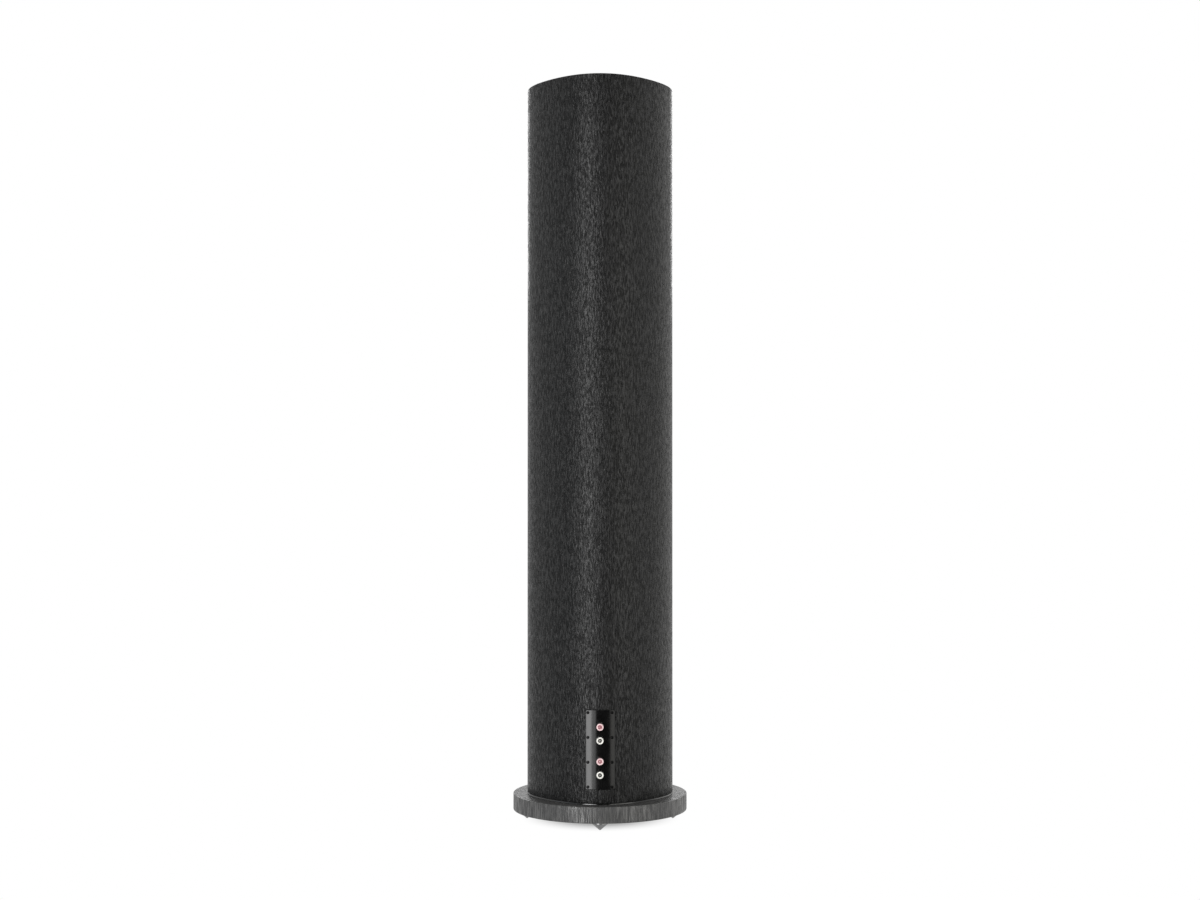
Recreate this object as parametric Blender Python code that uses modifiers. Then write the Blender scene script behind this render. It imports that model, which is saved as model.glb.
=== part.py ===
"""A floor-standing loudspeaker: a tall cabinet of curved plan on a round plinth with spikes.

Metres, +Z up. The origin is on the floor under the middle of the cabinet. The drivers face -Y,
and the bi-wire terminals face +Y.
"""

import math

import bmesh
import bpy
from mathutils import Matrix, Vector

GAP = 0.0003  # between pieces that touch

# The plan outline: a circle that swells a little at its four compass points.
PLAN_SWELL = 0.03
CABINET_HALF_WIDTH = 0.107
PLINTH_RADIUS = 0.128
PLINTH_CENTRE = -0.006  # the plinth reaches further forward than back
PLAN_STEP = math.radians(6)

# Heights, from the floor up.
SPIKE_HEIGHT = 0.012
PLINTH_THICKNESS = 0.0234
BASE_PLATE_THICKNESS = 0.0018
CABINET_HEIGHT = 1.0341
PLINTH_BOTTOM = SPIKE_HEIGHT
PLINTH_TOP = PLINTH_BOTTOM + PLINTH_THICKNESS
BASE_PLATE_BOTTOM = PLINTH_TOP + GAP
BASE_PLATE_TOP = BASE_PLATE_BOTTOM + BASE_PLATE_THICKNESS
CABINET_BOTTOM = BASE_PLATE_TOP + GAP
CABINET_TOP = CABINET_BOTTOM + CABINET_HEIGHT

# The cabinet's boards.
WALL = 0.015
END_PANEL = 0.018
BAFFLE_THICKNESS = 0.018
BAFFLE_FRONT = -0.062
BAFFLE_BACK = BAFFLE_FRONT + BAFFLE_THICKNESS
SHELL_FRONT = BAFFLE_BACK + GAP
SHELL_BOTTOM = CABINET_BOTTOM + END_PANEL + GAP
SHELL_TOP = CABINET_TOP - END_PANEL - GAP
BRACE_THICKNESS = 0.015
BRACE_OPENING_LOW = (-0.050, -0.010)
BRACE_OPENING_HIGH = (0.050, 0.050)
BRACE_OPENING_CORNER = 0.015

# The terminal panel and its fixings, with heights above the cabinet's lower edge.
PANEL_LOW = 0.0199
PANEL_HIGH = 0.1322
PANEL_HALF_WIDTH = 0.0203
PANEL_THICKNESS = 0.0025
PANEL_CORNER = 0.002
PANEL_SPARE = 1.4  # how much wider the curved plate is before it is trimmed
PANEL_CUTOUT_HALF = (0.0115, 0.047)
SCREW_OFFSET = 0.0165
SCREW_ROWS = 4
SCREW_MARGIN = 0.0036
SCREW_SHAFT = (0.0013, 0.0085)  # radius, length
SCREW_HEAD = (0.0022, 0.0010)
SCREW_FLAT = 0.7  # the head's flat top over its radius
SCREW_HOLE_RADIUS = 0.0016

# The binding posts, in two pairs. Where two numbers are given, they are radius and length.
PAIR_HEIGHTS = {"high": 0.1004, "low": 0.0521}
POST_SPACING = 0.01905
POST_SHAFT_RADIUS = 0.003
POST_HOLE_RADIUS = 0.0034
POST_INNER_REACH = 0.024
POST_FLANGE = (0.0058, 0.0014)
POST_SHAFT_LENGTH = 0.0109
SOCKET = (0.0020, 0.010)
WASHER = (0.0052, 0.0010)
CAP_RADIUS = 0.0055
CAP_BORE = 0.0033
CAP_LIP_BORE = 0.00295
CAP_LIP = 0.0012
CAP_LENGTH = 0.0108
CAP_CHAMFER = 0.0005
PLUG_PIN = (0.0017, 0.008)
PLUG_HEAD = (0.00275, 0.0008)
PLUG_PIP = (0.0008, 0.0004)

# The spikes: (x, y) on the floor.
SPIKES = {
    "back": (0.0, 0.104),
    "left": (0.107, 0.012),
    "right": (-0.107, 0.012),
    "front": (0.0, -0.104),
}
SPIKE_TIP_RADIUS = 0.0010
SPIKE_RADIUS = 0.0125
SPIKE_CONE = 0.0098
SPIKE_RIM = 0.0115
SPIKE_STUD = (0.004, 0.015)
SPIKE_HOLE = (0.0043, 0.020)

# The drivers' sizes; (radius, length) where there are two numbers.
WOOFER = {
    "rim": (0.069, 0.004),
    "hole": 0.0600,
    "basket": 0.050,
    "cone": 0.0490,
    "cone_depth": 0.024,
    "roll": 0.0050,
    "coil": 0.0130,
    "magnet": (0.043, 0.028),
}
MIDRANGE = {
    "rim": (0.063, 0.004),
    "hole": 0.0550,
    "basket": 0.042,
    "cone": 0.0440,
    "cone_depth": 0.020,
    "roll": 0.0045,
    "coil": 0.0125,
    "magnet": (0.040, 0.024),
}
BASKET_CLEARANCE = 0.002  # inside its hole in the baffle
BASKET_WALL = 0.002
BASKET_STRAIGHT = 0.018  # how far its sides run straight back
BASKET_NECK = 0.8  # the back ring's radius over the magnet's
BASKET_COIL_ROOM = 0.004
CONE_SET_BACK = 0.001  # from the rim's face to the cone's edge
CONE_SKIN = 0.0008
CONE_NECK = 0.002  # how far the cone's back reaches behind the cap's edge
CONE_COIL_GAP = 0.0015
COIL_HALF_WALL = 0.0007
COIL_REACH = 0.45  # the share of the magnet's length that the coil goes into
DUST_CAP_RISE = 0.009
DUST_CAP_SHOULDER = (0.8, 0.006)  # share of the coil's radius, and height there
DUST_CAP_OVERLAP = 0.003
SURROUND_WALL = 0.0008
SURROUND_RISE = 0.8  # the roll's height over its half width
SURROUND_STEPS = 3
MAGNET_GROOVE = 0.75  # the groove's depth over the magnet's length

# Where the drivers stand, and the cabinet's inner boards.
MIDRANGE_BELOW_TOP = 0.100
TWEETER_BELOW_TOP = 0.222
WOOFERS_BELOW_TOP = {"woofer_upper": 0.372, "woofer_lower": 0.532}
PORT_BELOW_TOP = 0.680
DIVIDER_BELOW_TOP = 0.290
BRACES_BELOW_TOP = {"brace_upper": 0.452, "brace_lower": 0.615}

# The tweeter.
TWEETER_PLATE = (0.052, 0.004)
TWEETER_HOLE = 0.040
TWEETER_HOUSING = (0.038, 0.006)
TWEETER_MAGNET = (0.036, 0.022)
TWEETER_COIL_GAP = 0.0012
TWEETER_COIL_REACH = 0.005
THROAT_RADIUS = 0.0165
THROAT_SET_BACK = 0.001
HORN_WIDTH = 0.011
DOME_RADIUS = 0.0125
DOME_RISE = 0.006
DOME_SET_BACK = 0.003
DOME_SKIN = 0.0005
DOME_STEPS = 3

# The bass port.
PORT = (0.0250, 0.0280, 0.110)  # bore, outer radius, length
PORT_FLANGE = (0.037, 0.003)

# The grille.
GRILLE_HALF_WIDTH = 0.0768
GRILLE_OPENING_HALF_WIDTH = 0.0706
GRILLE_DEPTH = 0.013
GRILLE_MARGIN = 0.012
GRILLE_BAR = 0.012
GRILLE_END_BAR = 0.024
GRILLE_END_PEG = 0.017  # from the grille's end to its end pegs
GRILLE_CORNER = 0.006
GRILLE_OPENING_CORNER = 0.004
GRILLE_BARS_BELOW_TOP = (0.297, 0.615)
GRILLE_CLOTH = 0.0010
PEG = (0.003, 0.010)
PEG_HOLE = (0.0033, 0.011)
PEG_OFFSET = 0.050

# The crossover, on the bottom panel.
BOARD = (0.100, 0.070, 0.002)
COIL = (0.008, 0.019, 0.020)  # inner radius, outer radius, height
COIL_PLACE = (0.026, -0.008)
CAPACITOR = (0.013, 0.034)  # radius, height
CAPACITOR_PLACE = (-0.026, -0.008)
PAD_THICKNESS = 0.022
PAD_ARC = math.radians(50)

TURNED_STEPS = 20
SMALL_STEPS = 12
PILOT_STEPS = 8

FACING_BACK = (-math.pi / 2, 0, 0)  # turns a piece's own +Z to +Y
FACING_FRONT = (math.pi / 2, 0, 0)  # turns it to -Y


def clear_scene():
    for obj in list(bpy.data.objects):
        bpy.data.objects.remove(obj)


def new_collection(name):
    collection = bpy.data.collections.new(name)
    bpy.context.scene.collection.children.link(collection)
    return collection


def material(name, color, roughness, metallic=0.0):
    made = bpy.data.materials.new(name)
    made.use_nodes = True
    shader = made.node_tree.nodes["Principled BSDF"]
    shader.inputs["Base Color"].default_value = (*color, 1)
    shader.inputs["Roughness"].default_value = roughness
    shader.inputs["Metallic"].default_value = metallic
    return made


clear_scene()
PARTS = new_collection("loudspeaker")
CUTTERS = new_collection("cutters")
MATERIALS = {
    "veneer": material("black_ash_veneer", (0.030, 0.030, 0.031), 0.55),
    "board": material("raw_board", (0.42, 0.31, 0.20), 0.85),
    "plinth": material("grey_stained_wood", (0.085, 0.085, 0.085), 0.50),
    "gloss": material("gloss_black_plastic", (0.006, 0.006, 0.007), 0.12),
    "black": material("black_plastic", (0.012, 0.012, 0.012), 0.45),
    "red": material("red_plastic", (0.42, 0.03, 0.04), 0.40),
    "nickel": material("nickel_plating", (0.80, 0.79, 0.77), 0.18, 1.0),
    "steel": material("satin_steel", (0.32, 0.32, 0.33), 0.30, 1.0),
    "screw": material("black_steel", (0.03, 0.03, 0.03), 0.35, 1.0),
    "paper": material("coated_paper", (0.020, 0.020, 0.021), 0.60),
    "rubber": material("rubber", (0.010, 0.010, 0.010), 0.70),
    "ferrite": material("ferrite", (0.040, 0.040, 0.042), 0.60),
    "silk": material("coated_silk", (0.015, 0.015, 0.016), 0.45),
    "wadding": material("polyester_wadding", (0.78, 0.78, 0.75), 0.95),
    "circuit": material("circuit_board", (0.05, 0.16, 0.07), 0.50),
    "copper": material("copper_wire", (0.60, 0.24, 0.11), 0.30, 1.0),
    "fabric": material("grille_fabric", (0.010, 0.010, 0.010), 0.90),
}


def add_part(name, data, finish, collection=PARTS):
    obj = bpy.data.objects.new(name, data)
    collection.objects.link(obj)
    data.materials.append(MATERIALS[finish])
    return obj


def plan_point(half_width, angle, offset=0.0):
    """A point of the plan outline, at this angle from +X, moved out along the outline's normal."""
    base = half_width / (1 + PLAN_SWELL)
    radius = base * (1 + PLAN_SWELL * math.cos(4 * angle))
    slope = -4 * base * PLAN_SWELL * math.sin(4 * angle)
    along = Vector((math.cos(angle), math.sin(angle)))
    across = Vector((-math.sin(angle), math.cos(angle)))
    tangent = (along * slope + across * radius).normalized()
    return along * radius + Vector((tangent.y, -tangent.x)) * offset


def front_angle(half_width, front, offset=0.0):
    """How far past +X, towards the front, the outline reaches this y."""
    low, high = 0.0, math.pi / 2
    for _ in range(40):
        middle = (low + high) / 2
        if plan_point(half_width, -middle, offset).y > front:
            low = middle
        else:
            high = middle
    return low


def plan_arc(half_width, start, end, offset=0.0):
    steps = max(2, round(abs(end - start) / PLAN_STEP))
    return [
        plan_point(half_width, start + (end - start) * i / steps, offset)
        for i in range(steps + 1)
    ]


def cut_plan(half_width, front, offset=0.0):
    """The plan outline round the back, with its front cut off straight at this y."""
    past = front_angle(half_width, front, offset)
    return plan_arc(half_width, -past, math.pi + past, offset)


def rounded_rectangle(low, high, corner, steps=4):
    """Anticlockwise outline of a rectangle with arcs for its corners."""
    centres = (
        (high[0] - corner, low[1] + corner, -math.pi / 2),
        (high[0] - corner, high[1] - corner, 0),
        (low[0] + corner, high[1] - corner, math.pi / 2),
        (low[0] + corner, low[1] + corner, math.pi),
    )
    outline = []
    for x, y, start in centres:
        for i in range(steps + 1):
            angle = start + math.pi / 2 * i / steps
            outline.append((x + corner * math.cos(angle), y + corner * math.sin(angle)))
    return outline


def plate(name, outlines, bottom, top, finish, collection=PARTS):
    """A flat plate between two heights; the first outline is its edge, and the others are holes."""
    curve = bpy.data.curves.new(name, "CURVE")
    curve.dimensions = "2D"
    curve.fill_mode = "BOTH"
    curve.extrude = (top - bottom) / 2
    for outline in outlines:
        spline = curve.splines.new("POLY")
        spline.points.add(len(outline) - 1)
        for point, (x, y) in zip(spline.points, outline):
            point.co = (x, y, 0, 1)
        spline.use_cyclic_u = True
    obj = add_part(name, curve, finish, collection)
    obj.location.z = (bottom + top) / 2
    return obj


def as_mesh(obj):
    """The curve object made a welded mesh object, so that it can take or be a Boolean."""
    bpy.context.view_layer.update()
    graph = bpy.context.evaluated_depsgraph_get()
    mesh = bpy.data.meshes.new_from_object(obj.evaluated_get(graph))
    welded = bmesh.new()
    welded.from_mesh(mesh)
    bmesh.ops.remove_doubles(welded, verts=welded.verts, dist=1e-6)
    welded.to_mesh(mesh)
    welded.free()
    name, place, collection = obj.name, obj.matrix_world.copy(), obj.users_collection[0]
    bpy.data.objects.remove(obj)
    made = bpy.data.objects.new(name, mesh)
    made.matrix_world = place
    collection.objects.link(made)
    return made


def turned(name, profile, finish, location=(0, 0, 0), rotation=(0, 0, 0), closed=False,
           steps=TURNED_STEPS, collection=PARTS):
    """A turned piece about its own Z. The profile's (radius, height) points run down its outer side."""
    mesh = bpy.data.meshes.new(name)
    points = [(radius, 0, height) for radius, height in profile]
    edges = [(i, i + 1) for i in range(len(points) - 1)]
    if closed:
        edges.append((len(points) - 1, 0))
    mesh.from_pydata(points, edges, [])
    obj = add_part(name, mesh, finish, collection)
    obj.location = location
    obj.rotation_euler = rotation
    screw = obj.modifiers.new("turn", "SCREW")
    screw.steps = steps
    screw.render_steps = steps
    screw.use_merge_vertices = True
    screw.merge_threshold = 1e-6
    screw.use_smooth_shade = False
    return obj


def box(name, low, high, finish, collection=PARTS):
    low, high = Vector(low), Vector(high)
    made = bmesh.new()
    bmesh.ops.create_cube(made, size=1, matrix=Matrix.Diagonal((*(high - low), 1)))
    mesh = bpy.data.meshes.new(name)
    made.to_mesh(mesh)
    made.free()
    obj = add_part(name, mesh, finish, collection)
    obj.location = (low + high) / 2
    return obj


def rod_cutter(name, radius, start, end, location, rotation, steps=SMALL_STEPS):
    """A cylinder along the cutter's own Z, from start to end."""
    profile = [(0, end), (radius, end), (radius, start), (0, start)]
    return turned(name, profile, "black", location, rotation, steps=steps, collection=CUTTERS)


def boolean(obj, other, operation="DIFFERENCE"):
    other.hide_render = True
    other.display_type = "WIRE"
    modifier = obj.modifiers.new(operation.lower(), "BOOLEAN")
    modifier.operation = operation
    modifier.object = other


def shade_round(obj, angle=math.radians(35)):
    if obj.type == "MESH":
        obj.data.shade_smooth()
        obj.data.set_sharp_from_angle(angle=angle)


# Cabinet ---------------------------------------------------------------------------------------


def panel_height(above):
    """The height of something given above the cabinet's lower edge."""
    return CABINET_BOTTOM + above


def screw_places():
    """Point, outward normal and number of each terminal panel screw, on the cabinet's surface."""
    rise = (PANEL_HIGH - PANEL_LOW - 2 * SCREW_MARGIN) / (SCREW_ROWS - 1)
    lean = math.asin(SCREW_OFFSET / CABINET_HALF_WIDTH)
    number = 0
    for side in (-1, 1):
        angle = math.pi / 2 - side * lean
        surface = plan_point(CABINET_HALF_WIDTH, angle)
        normal = (plan_point(CABINET_HALF_WIDTH, angle, 1.0) - surface).normalized()
        for row in range(SCREW_ROWS):
            number += 1
            height = panel_height(PANEL_LOW + SCREW_MARGIN + rise * row)
            yield Vector((*surface, height)), Vector((*normal, 0)), number


def outward(normal):
    """The rotation that turns a piece's own +Z to this level direction."""
    return normal.to_track_quat("Z", "Y").to_euler()


def cut_screw_holes(obj, name):
    for point, normal, number in screw_places():
        cutter = rod_cutter(
            f"{name}_screw_hole_{number}", SCREW_HOLE_RADIUS, -SCREW_SHAFT[1], PANEL_THICKNESS * 2,
            point, outward(normal), PILOT_STEPS,
        )
        boolean(obj, cutter)


def cabinet_shell():
    outer = cut_plan(CABINET_HALF_WIDTH, SHELL_FRONT)
    inner = cut_plan(CABINET_HALF_WIDTH, SHELL_FRONT, -WALL)
    shell = as_mesh(
        plate("cabinet_shell", [outer + inner[::-1]], SHELL_BOTTOM, SHELL_TOP, "veneer")
    )
    middle = panel_height((PANEL_LOW + PANEL_HIGH) / 2)
    half_width, half_height = PANEL_CUTOUT_HALF
    cutout = box(
        "terminal_cutout",
        (-half_width, CABINET_HALF_WIDTH - 2 * WALL, middle - half_height),
        (half_width, CABINET_HALF_WIDTH + WALL, middle + half_height),
        "black",
        CUTTERS,
    )
    boolean(shell, cutout)
    cut_screw_holes(shell, "shell")
    shade_round(shell)


def end_panels():
    outline = cut_plan(CABINET_HALF_WIDTH, BAFFLE_FRONT)
    plate("bottom_panel", [outline], CABINET_BOTTOM, CABINET_BOTTOM + END_PANEL, "veneer")
    plate("top_panel", [outline], CABINET_TOP - END_PANEL, CABINET_TOP, "veneer")


def inner_outline():
    return cut_plan(CABINET_HALF_WIDTH, SHELL_FRONT, -WALL - GAP)


def shelves():
    """The two ring braces and the solid divider under the midrange and tweeter chamber."""
    for name, below in BRACES_BELOW_TOP.items():
        low = CABINET_TOP - below
        opening = rounded_rectangle(BRACE_OPENING_LOW, BRACE_OPENING_HIGH, BRACE_OPENING_CORNER)
        plate(name, [inner_outline(), opening], low, low + BRACE_THICKNESS, "board")
    low = CABINET_TOP - DIVIDER_BELOW_TOP
    plate("chamber_divider", [inner_outline()], low, low + BRACE_THICKNESS, "board")


def damping_pad():
    outer = plan_arc(
        CABINET_HALF_WIDTH, math.pi / 2 - PAD_ARC, math.pi / 2 + PAD_ARC, -WALL - GAP
    )
    inner = plan_arc(
        CABINET_HALF_WIDTH,
        math.pi / 2 - PAD_ARC,
        math.pi / 2 + PAD_ARC,
        -WALL - PAD_THICKNESS,
    )
    low = CABINET_TOP - BRACES_BELOW_TOP["brace_lower"] + BRACE_THICKNESS + GAP
    high = CABINET_TOP - BRACES_BELOW_TOP["brace_upper"] - GAP
    plate("damping_pad", [outer + inner[::-1]], low, high, "wadding")


def peg_places():
    """Height of each row of grille pegs."""
    bars = [CABINET_TOP - below for below in GRILLE_BARS_BELOW_TOP]
    low, high = grille_heights()
    return [low + GRILLE_END_PEG, *bars, high - GRILLE_END_PEG]


def front_baffle():
    front = front_angle(CABINET_HALF_WIDTH, BAFFLE_FRONT)
    back = front_angle(CABINET_HALF_WIDTH, BAFFLE_BACK)
    right = plan_arc(CABINET_HALF_WIDTH, -front, -back)
    left = [Vector((-point.x, point.y)) for point in right[::-1]]
    baffle = as_mesh(
        plate("front_baffle", [right + left], SHELL_BOTTOM, SHELL_TOP, "veneer")
    )
    holes = [
        (CABINET_TOP - MIDRANGE_BELOW_TOP, MIDRANGE["hole"]),
        (CABINET_TOP - TWEETER_BELOW_TOP, TWEETER_HOLE),
        (CABINET_TOP - PORT_BELOW_TOP, PORT[1] + GAP),
    ]
    holes += [(CABINET_TOP - below, WOOFER["hole"]) for below in WOOFERS_BELOW_TOP.values()]
    for number, (height, radius) in enumerate(holes):
        cutter = rod_cutter(
            f"baffle_hole_{number}", radius, -2 * BAFFLE_THICKNESS, BAFFLE_THICKNESS,
            (0, BAFFLE_FRONT, height), FACING_FRONT, TURNED_STEPS,
        )
        boolean(baffle, cutter)
    for row, height in enumerate(peg_places()):
        for side in (-1, 1):
            cutter = rod_cutter(
                f"peg_hole_{row}_{side}", PEG_HOLE[0], -PEG_HOLE[1], PEG_HOLE[1],
                (side * PEG_OFFSET, BAFFLE_FRONT, height), FACING_FRONT, PILOT_STEPS,
            )
            boolean(baffle, cutter)


# Base ------------------------------------------------------------------------------------------


def plinth_outline():
    """A circle set a little towards the front."""
    steps = round(2 * math.pi / PLAN_STEP)
    outline = []
    for i in range(steps):
        angle = 2 * math.pi * i / steps
        outline.append((PLINTH_RADIUS * math.cos(angle), PLINTH_CENTRE + PLINTH_RADIUS * math.sin(angle)))
    return outline


def base():
    outline = cut_plan(CABINET_HALF_WIDTH, BAFFLE_FRONT)
    plate("base_plate", [outline], BASE_PLATE_BOTTOM, BASE_PLATE_TOP, "gloss")
    plinth = as_mesh(plate("plinth", [plinth_outline()], PLINTH_BOTTOM, PLINTH_TOP, "plinth"))
    for name, (x, y) in SPIKES.items():
        radius, depth = SPIKE_HOLE
        cutter = rod_cutter(f"spike_hole_{name}", radius, -depth, depth, (x, y, PLINTH_BOTTOM),
                            (0, 0, 0))
        boolean(plinth, cutter)
    shade_round(plinth)


def spikes():
    stud_radius, stud_length = SPIKE_STUD
    profile = [
        (0, SPIKE_RIM + stud_length),
        (stud_radius, SPIKE_RIM + stud_length),
        (stud_radius, SPIKE_RIM),
        (SPIKE_RADIUS, SPIKE_RIM),
        (SPIKE_RADIUS, SPIKE_CONE),
        (SPIKE_TIP_RADIUS, 0),
        (0, 0),
    ]
    for name, (x, y) in SPIKES.items():
        turned(f"spike_{name}", profile, "steel", (x, y, 0))


# Terminals -------------------------------------------------------------------------------------


def terminal_panel():
    """A curved plate on the cabinet's back, trimmed to a rounded rectangle."""
    reach = PANEL_SPARE * math.asin(PANEL_HALF_WIDTH / CABINET_HALF_WIDTH)
    outer = plan_arc(
        CABINET_HALF_WIDTH, math.pi / 2 - reach, math.pi / 2 + reach, GAP + PANEL_THICKNESS
    )
    inner = plan_arc(CABINET_HALF_WIDTH, math.pi / 2 - reach, math.pi / 2 + reach, GAP)
    low, high = panel_height(PANEL_LOW), panel_height(PANEL_HIGH)
    panel = as_mesh(
        plate("terminal_panel", [outer + inner[::-1]], low - WALL, high + WALL, "gloss")
    )
    trim = plate(
        "terminal_panel_trim",
        [rounded_rectangle((-PANEL_HALF_WIDTH, low), (PANEL_HALF_WIDTH, high), PANEL_CORNER)],
        -CABINET_HALF_WIDTH - WALL,
        -CABINET_HALF_WIDTH + WALL,
        "black",
        CUTTERS,
    )
    trim.rotation_euler = FACING_FRONT
    trim.location = (0, CABINET_HALF_WIDTH, 0)
    boolean(panel, as_mesh(trim), "INTERSECT")
    for name, height in post_heights().items():
        cutter = rod_cutter(f"post_hole_{name}", POST_HOLE_RADIUS, -WALL, WALL,
                            (0, CABINET_HALF_WIDTH, height), FACING_BACK)
        boolean(panel, cutter)
    cut_screw_holes(panel, "panel")
    shade_round(panel)


def panel_screws():
    shaft_radius, shaft_length = SCREW_SHAFT
    head_radius, head_height = SCREW_HEAD
    seat = 2 * GAP + PANEL_THICKNESS
    profile = [
        (0, seat + head_height),
        (head_radius * SCREW_FLAT, seat + head_height),
        (head_radius, seat + head_height / 3),
        (head_radius, seat),
        (shaft_radius, seat),
        (shaft_radius, GAP + shaft_radius - shaft_length),
        (0, GAP - shaft_length),
    ]
    for point, normal, number in screw_places():
        turned(f"panel_screw_{number}", profile, "screw", point, outward(normal), steps=PILOT_STEPS)


def post_heights():
    """The height of each post's axis, by name."""
    heights = {}
    for pair, middle in PAIR_HEIGHTS.items():
        heights[f"{pair}_red"] = panel_height(middle + POST_SPACING / 2)
        heights[f"{pair}_black"] = panel_height(middle - POST_SPACING / 2)
    return heights


def post(name, height):
    """One binding post: stud, clamp washer, screw-on cap and the small plug in its socket."""
    place = (0, CABINET_HALF_WIDTH + GAP + PANEL_THICKNESS, height)
    flange_top = GAP + POST_FLANGE[1]
    end = flange_top + POST_SHAFT_LENGTH
    post_stud(name, place, flange_top, end)
    washer_low = flange_top + GAP
    washer_top = washer_low + WASHER[1]
    washer = [
        (WASHER[0], washer_top),
        (WASHER[0], washer_low),
        (CAP_BORE, washer_low),
        (CAP_BORE, washer_top),
    ]
    turned(f"post_washer_{name}", washer, "nickel", place, FACING_BACK, True, SMALL_STEPS)
    post_cap(name, place, washer_top + GAP)
    post_plug(name, place, end + GAP)


def post_stud(name, place, flange_top, end):
    """The fixed stud, from inside the cabinet to its outer end, with the socket in that end."""
    flange_radius = POST_FLANGE[0]
    socket_radius, socket_depth = SOCKET
    stud = [
        (0, end - socket_depth),
        (socket_radius, end - socket_depth),
        (socket_radius, end),
        (POST_SHAFT_RADIUS, end),
        (POST_SHAFT_RADIUS, flange_top),
        (flange_radius, flange_top),
        (flange_radius, GAP),
        (POST_SHAFT_RADIUS, GAP),
        (POST_SHAFT_RADIUS, -POST_INNER_REACH),
        (0, -POST_INNER_REACH),
    ]
    turned(f"post_stud_{name}", stud, "nickel", place, FACING_BACK, steps=SMALL_STEPS)


def post_cap(name, place, low):
    """The screw-on cap, whose outer end is drawn in to a lip over the stud's end."""
    top = low + CAP_LENGTH
    cap = [
        (CAP_LIP_BORE, top),
        (CAP_RADIUS - CAP_CHAMFER, top),
        (CAP_RADIUS, top - CAP_CHAMFER),
        (CAP_RADIUS, low),
        (CAP_BORE, low),
        (CAP_BORE, top - CAP_LIP),
        (CAP_LIP_BORE, top - CAP_LIP),
    ]
    turned(f"post_cap_{name}", cap, "nickel", place, FACING_BACK, True, SMALL_STEPS)


def post_plug(name, place, seat):
    """The plug whose pin goes into the stud's socket, red or black by the post's name."""
    pin_radius, pin_length = PLUG_PIN
    head_radius, head = PLUG_HEAD
    pip_radius, pip = PLUG_PIP
    face = seat + head
    plug = [
        (0, face + pip),
        (pip_radius, face + pip),
        (pip_radius, face),
        (head_radius, face),
        (head_radius, seat),
        (pin_radius, seat),
        (pin_radius, seat - pin_length),
        (0, seat - pin_length),
    ]
    color = name.split("_")[1]
    turned(f"post_plug_{name}", plug, color, place, FACING_BACK, steps=SMALL_STEPS)


# Drivers ---------------------------------------------------------------------------------------


def cone_driver(name, size, below_top):
    """A cone driver on the baffle: basket, magnet, cone and surround, with +Z of each to the front."""
    place = (0, BAFFLE_FRONT - GAP, CABINET_TOP - below_top)
    basket = basket_profile(size)
    turned(f"{name}_basket", basket, "black", place, FACING_FRONT, True)
    magnet_radius, magnet_length = size["magnet"]
    magnet_top = -size["basket"] - GAP
    magnet = grooved_magnet(size["coil"], CONE_COIL_GAP, magnet_radius, magnet_top, magnet_length)
    turned(f"{name}_magnet", magnet, "ferrite", place, FACING_FRONT)
    edge = size["rim"][1] - CONE_SET_BACK
    cone = cone_profile(size, edge, magnet_top - magnet_length * COIL_REACH)
    turned(f"{name}_cone", cone, "paper", place, FACING_FRONT)
    turned(f"{name}_surround", surround_profile(size, edge), "rubber", place, FACING_FRONT, True)


def basket_profile(size):
    """The rim on the baffle, the sides that narrow to the back, and the ring behind the coil."""
    rim_radius, rim = size["rim"]
    throat = size["hole"] - BASKET_CLEARANCE
    depth = size["basket"]
    wall = BASKET_WALL
    bore = size["coil"] + BASKET_COIL_ROOM
    seat = size["cone"] + 2 * size["roll"] + 3 * GAP
    neck = size["magnet"][0] * BASKET_NECK
    return [
        (rim_radius, rim),
        (rim_radius, 0),
        (throat, 0),
        (throat, -BASKET_STRAIGHT),
        (neck + wall, -depth),
        (bore, -depth),
        (bore, -depth + wall),
        (neck, -depth + wall),
        (throat - wall, -BASKET_STRAIGHT + wall / 2),
        (throat - wall, 2 * GAP),
        (seat, 2 * GAP),
        (seat, rim),
    ]


def cone_profile(size, edge, coil_end):
    """Dust cap, cone and voice coil as one skin, from the middle of the front to that of the back."""
    apex = edge - size["cone_depth"]
    neck = apex - CONE_NECK
    coil = size["coil"]
    return [
        (0, apex + DUST_CAP_RISE),
        (coil * DUST_CAP_SHOULDER[0], apex + DUST_CAP_SHOULDER[1]),
        (coil + DUST_CAP_OVERLAP, apex),
        (size["cone"] - GAP, edge),
        (size["cone"] - GAP, edge - CONE_SKIN),
        (coil + COIL_HALF_WALL + CONE_SKIN / 4, neck),
        (coil + COIL_HALF_WALL, coil_end),
        (coil - COIL_HALF_WALL, coil_end),
        (coil - COIL_HALF_WALL, neck),
        (0, neck + DUST_CAP_SHOULDER[1]),
    ]


def grooved_magnet(coil, clearance, radius, top, length):
    """A magnet and its pole piece, with the ring-shaped gap that the voice coil moves in."""
    groove = top - length * MAGNET_GROOVE
    return [
        (0, top),
        (coil - clearance, top),
        (coil - clearance, groove),
        (coil + clearance, groove),
        (coil + clearance, top),
        (radius, top),
        (radius, top - length),
        (0, top - length),
    ]


def surround_profile(size, edge):
    """A half roll of rubber between the cone's edge and the basket's rim."""
    roll = size["roll"]
    centre = size["cone"] + roll + GAP
    angles = [math.pi * i / SURROUND_STEPS for i in range(SURROUND_STEPS + 1)]

    def half_roll(radius, foot):
        return [
            (centre - radius * math.cos(a), foot + radius * SURROUND_RISE * math.sin(a))
            for a in angles
        ]

    return half_roll(roll, edge) + half_roll(roll - SURROUND_WALL, edge - SURROUND_WALL)[::-1]


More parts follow.
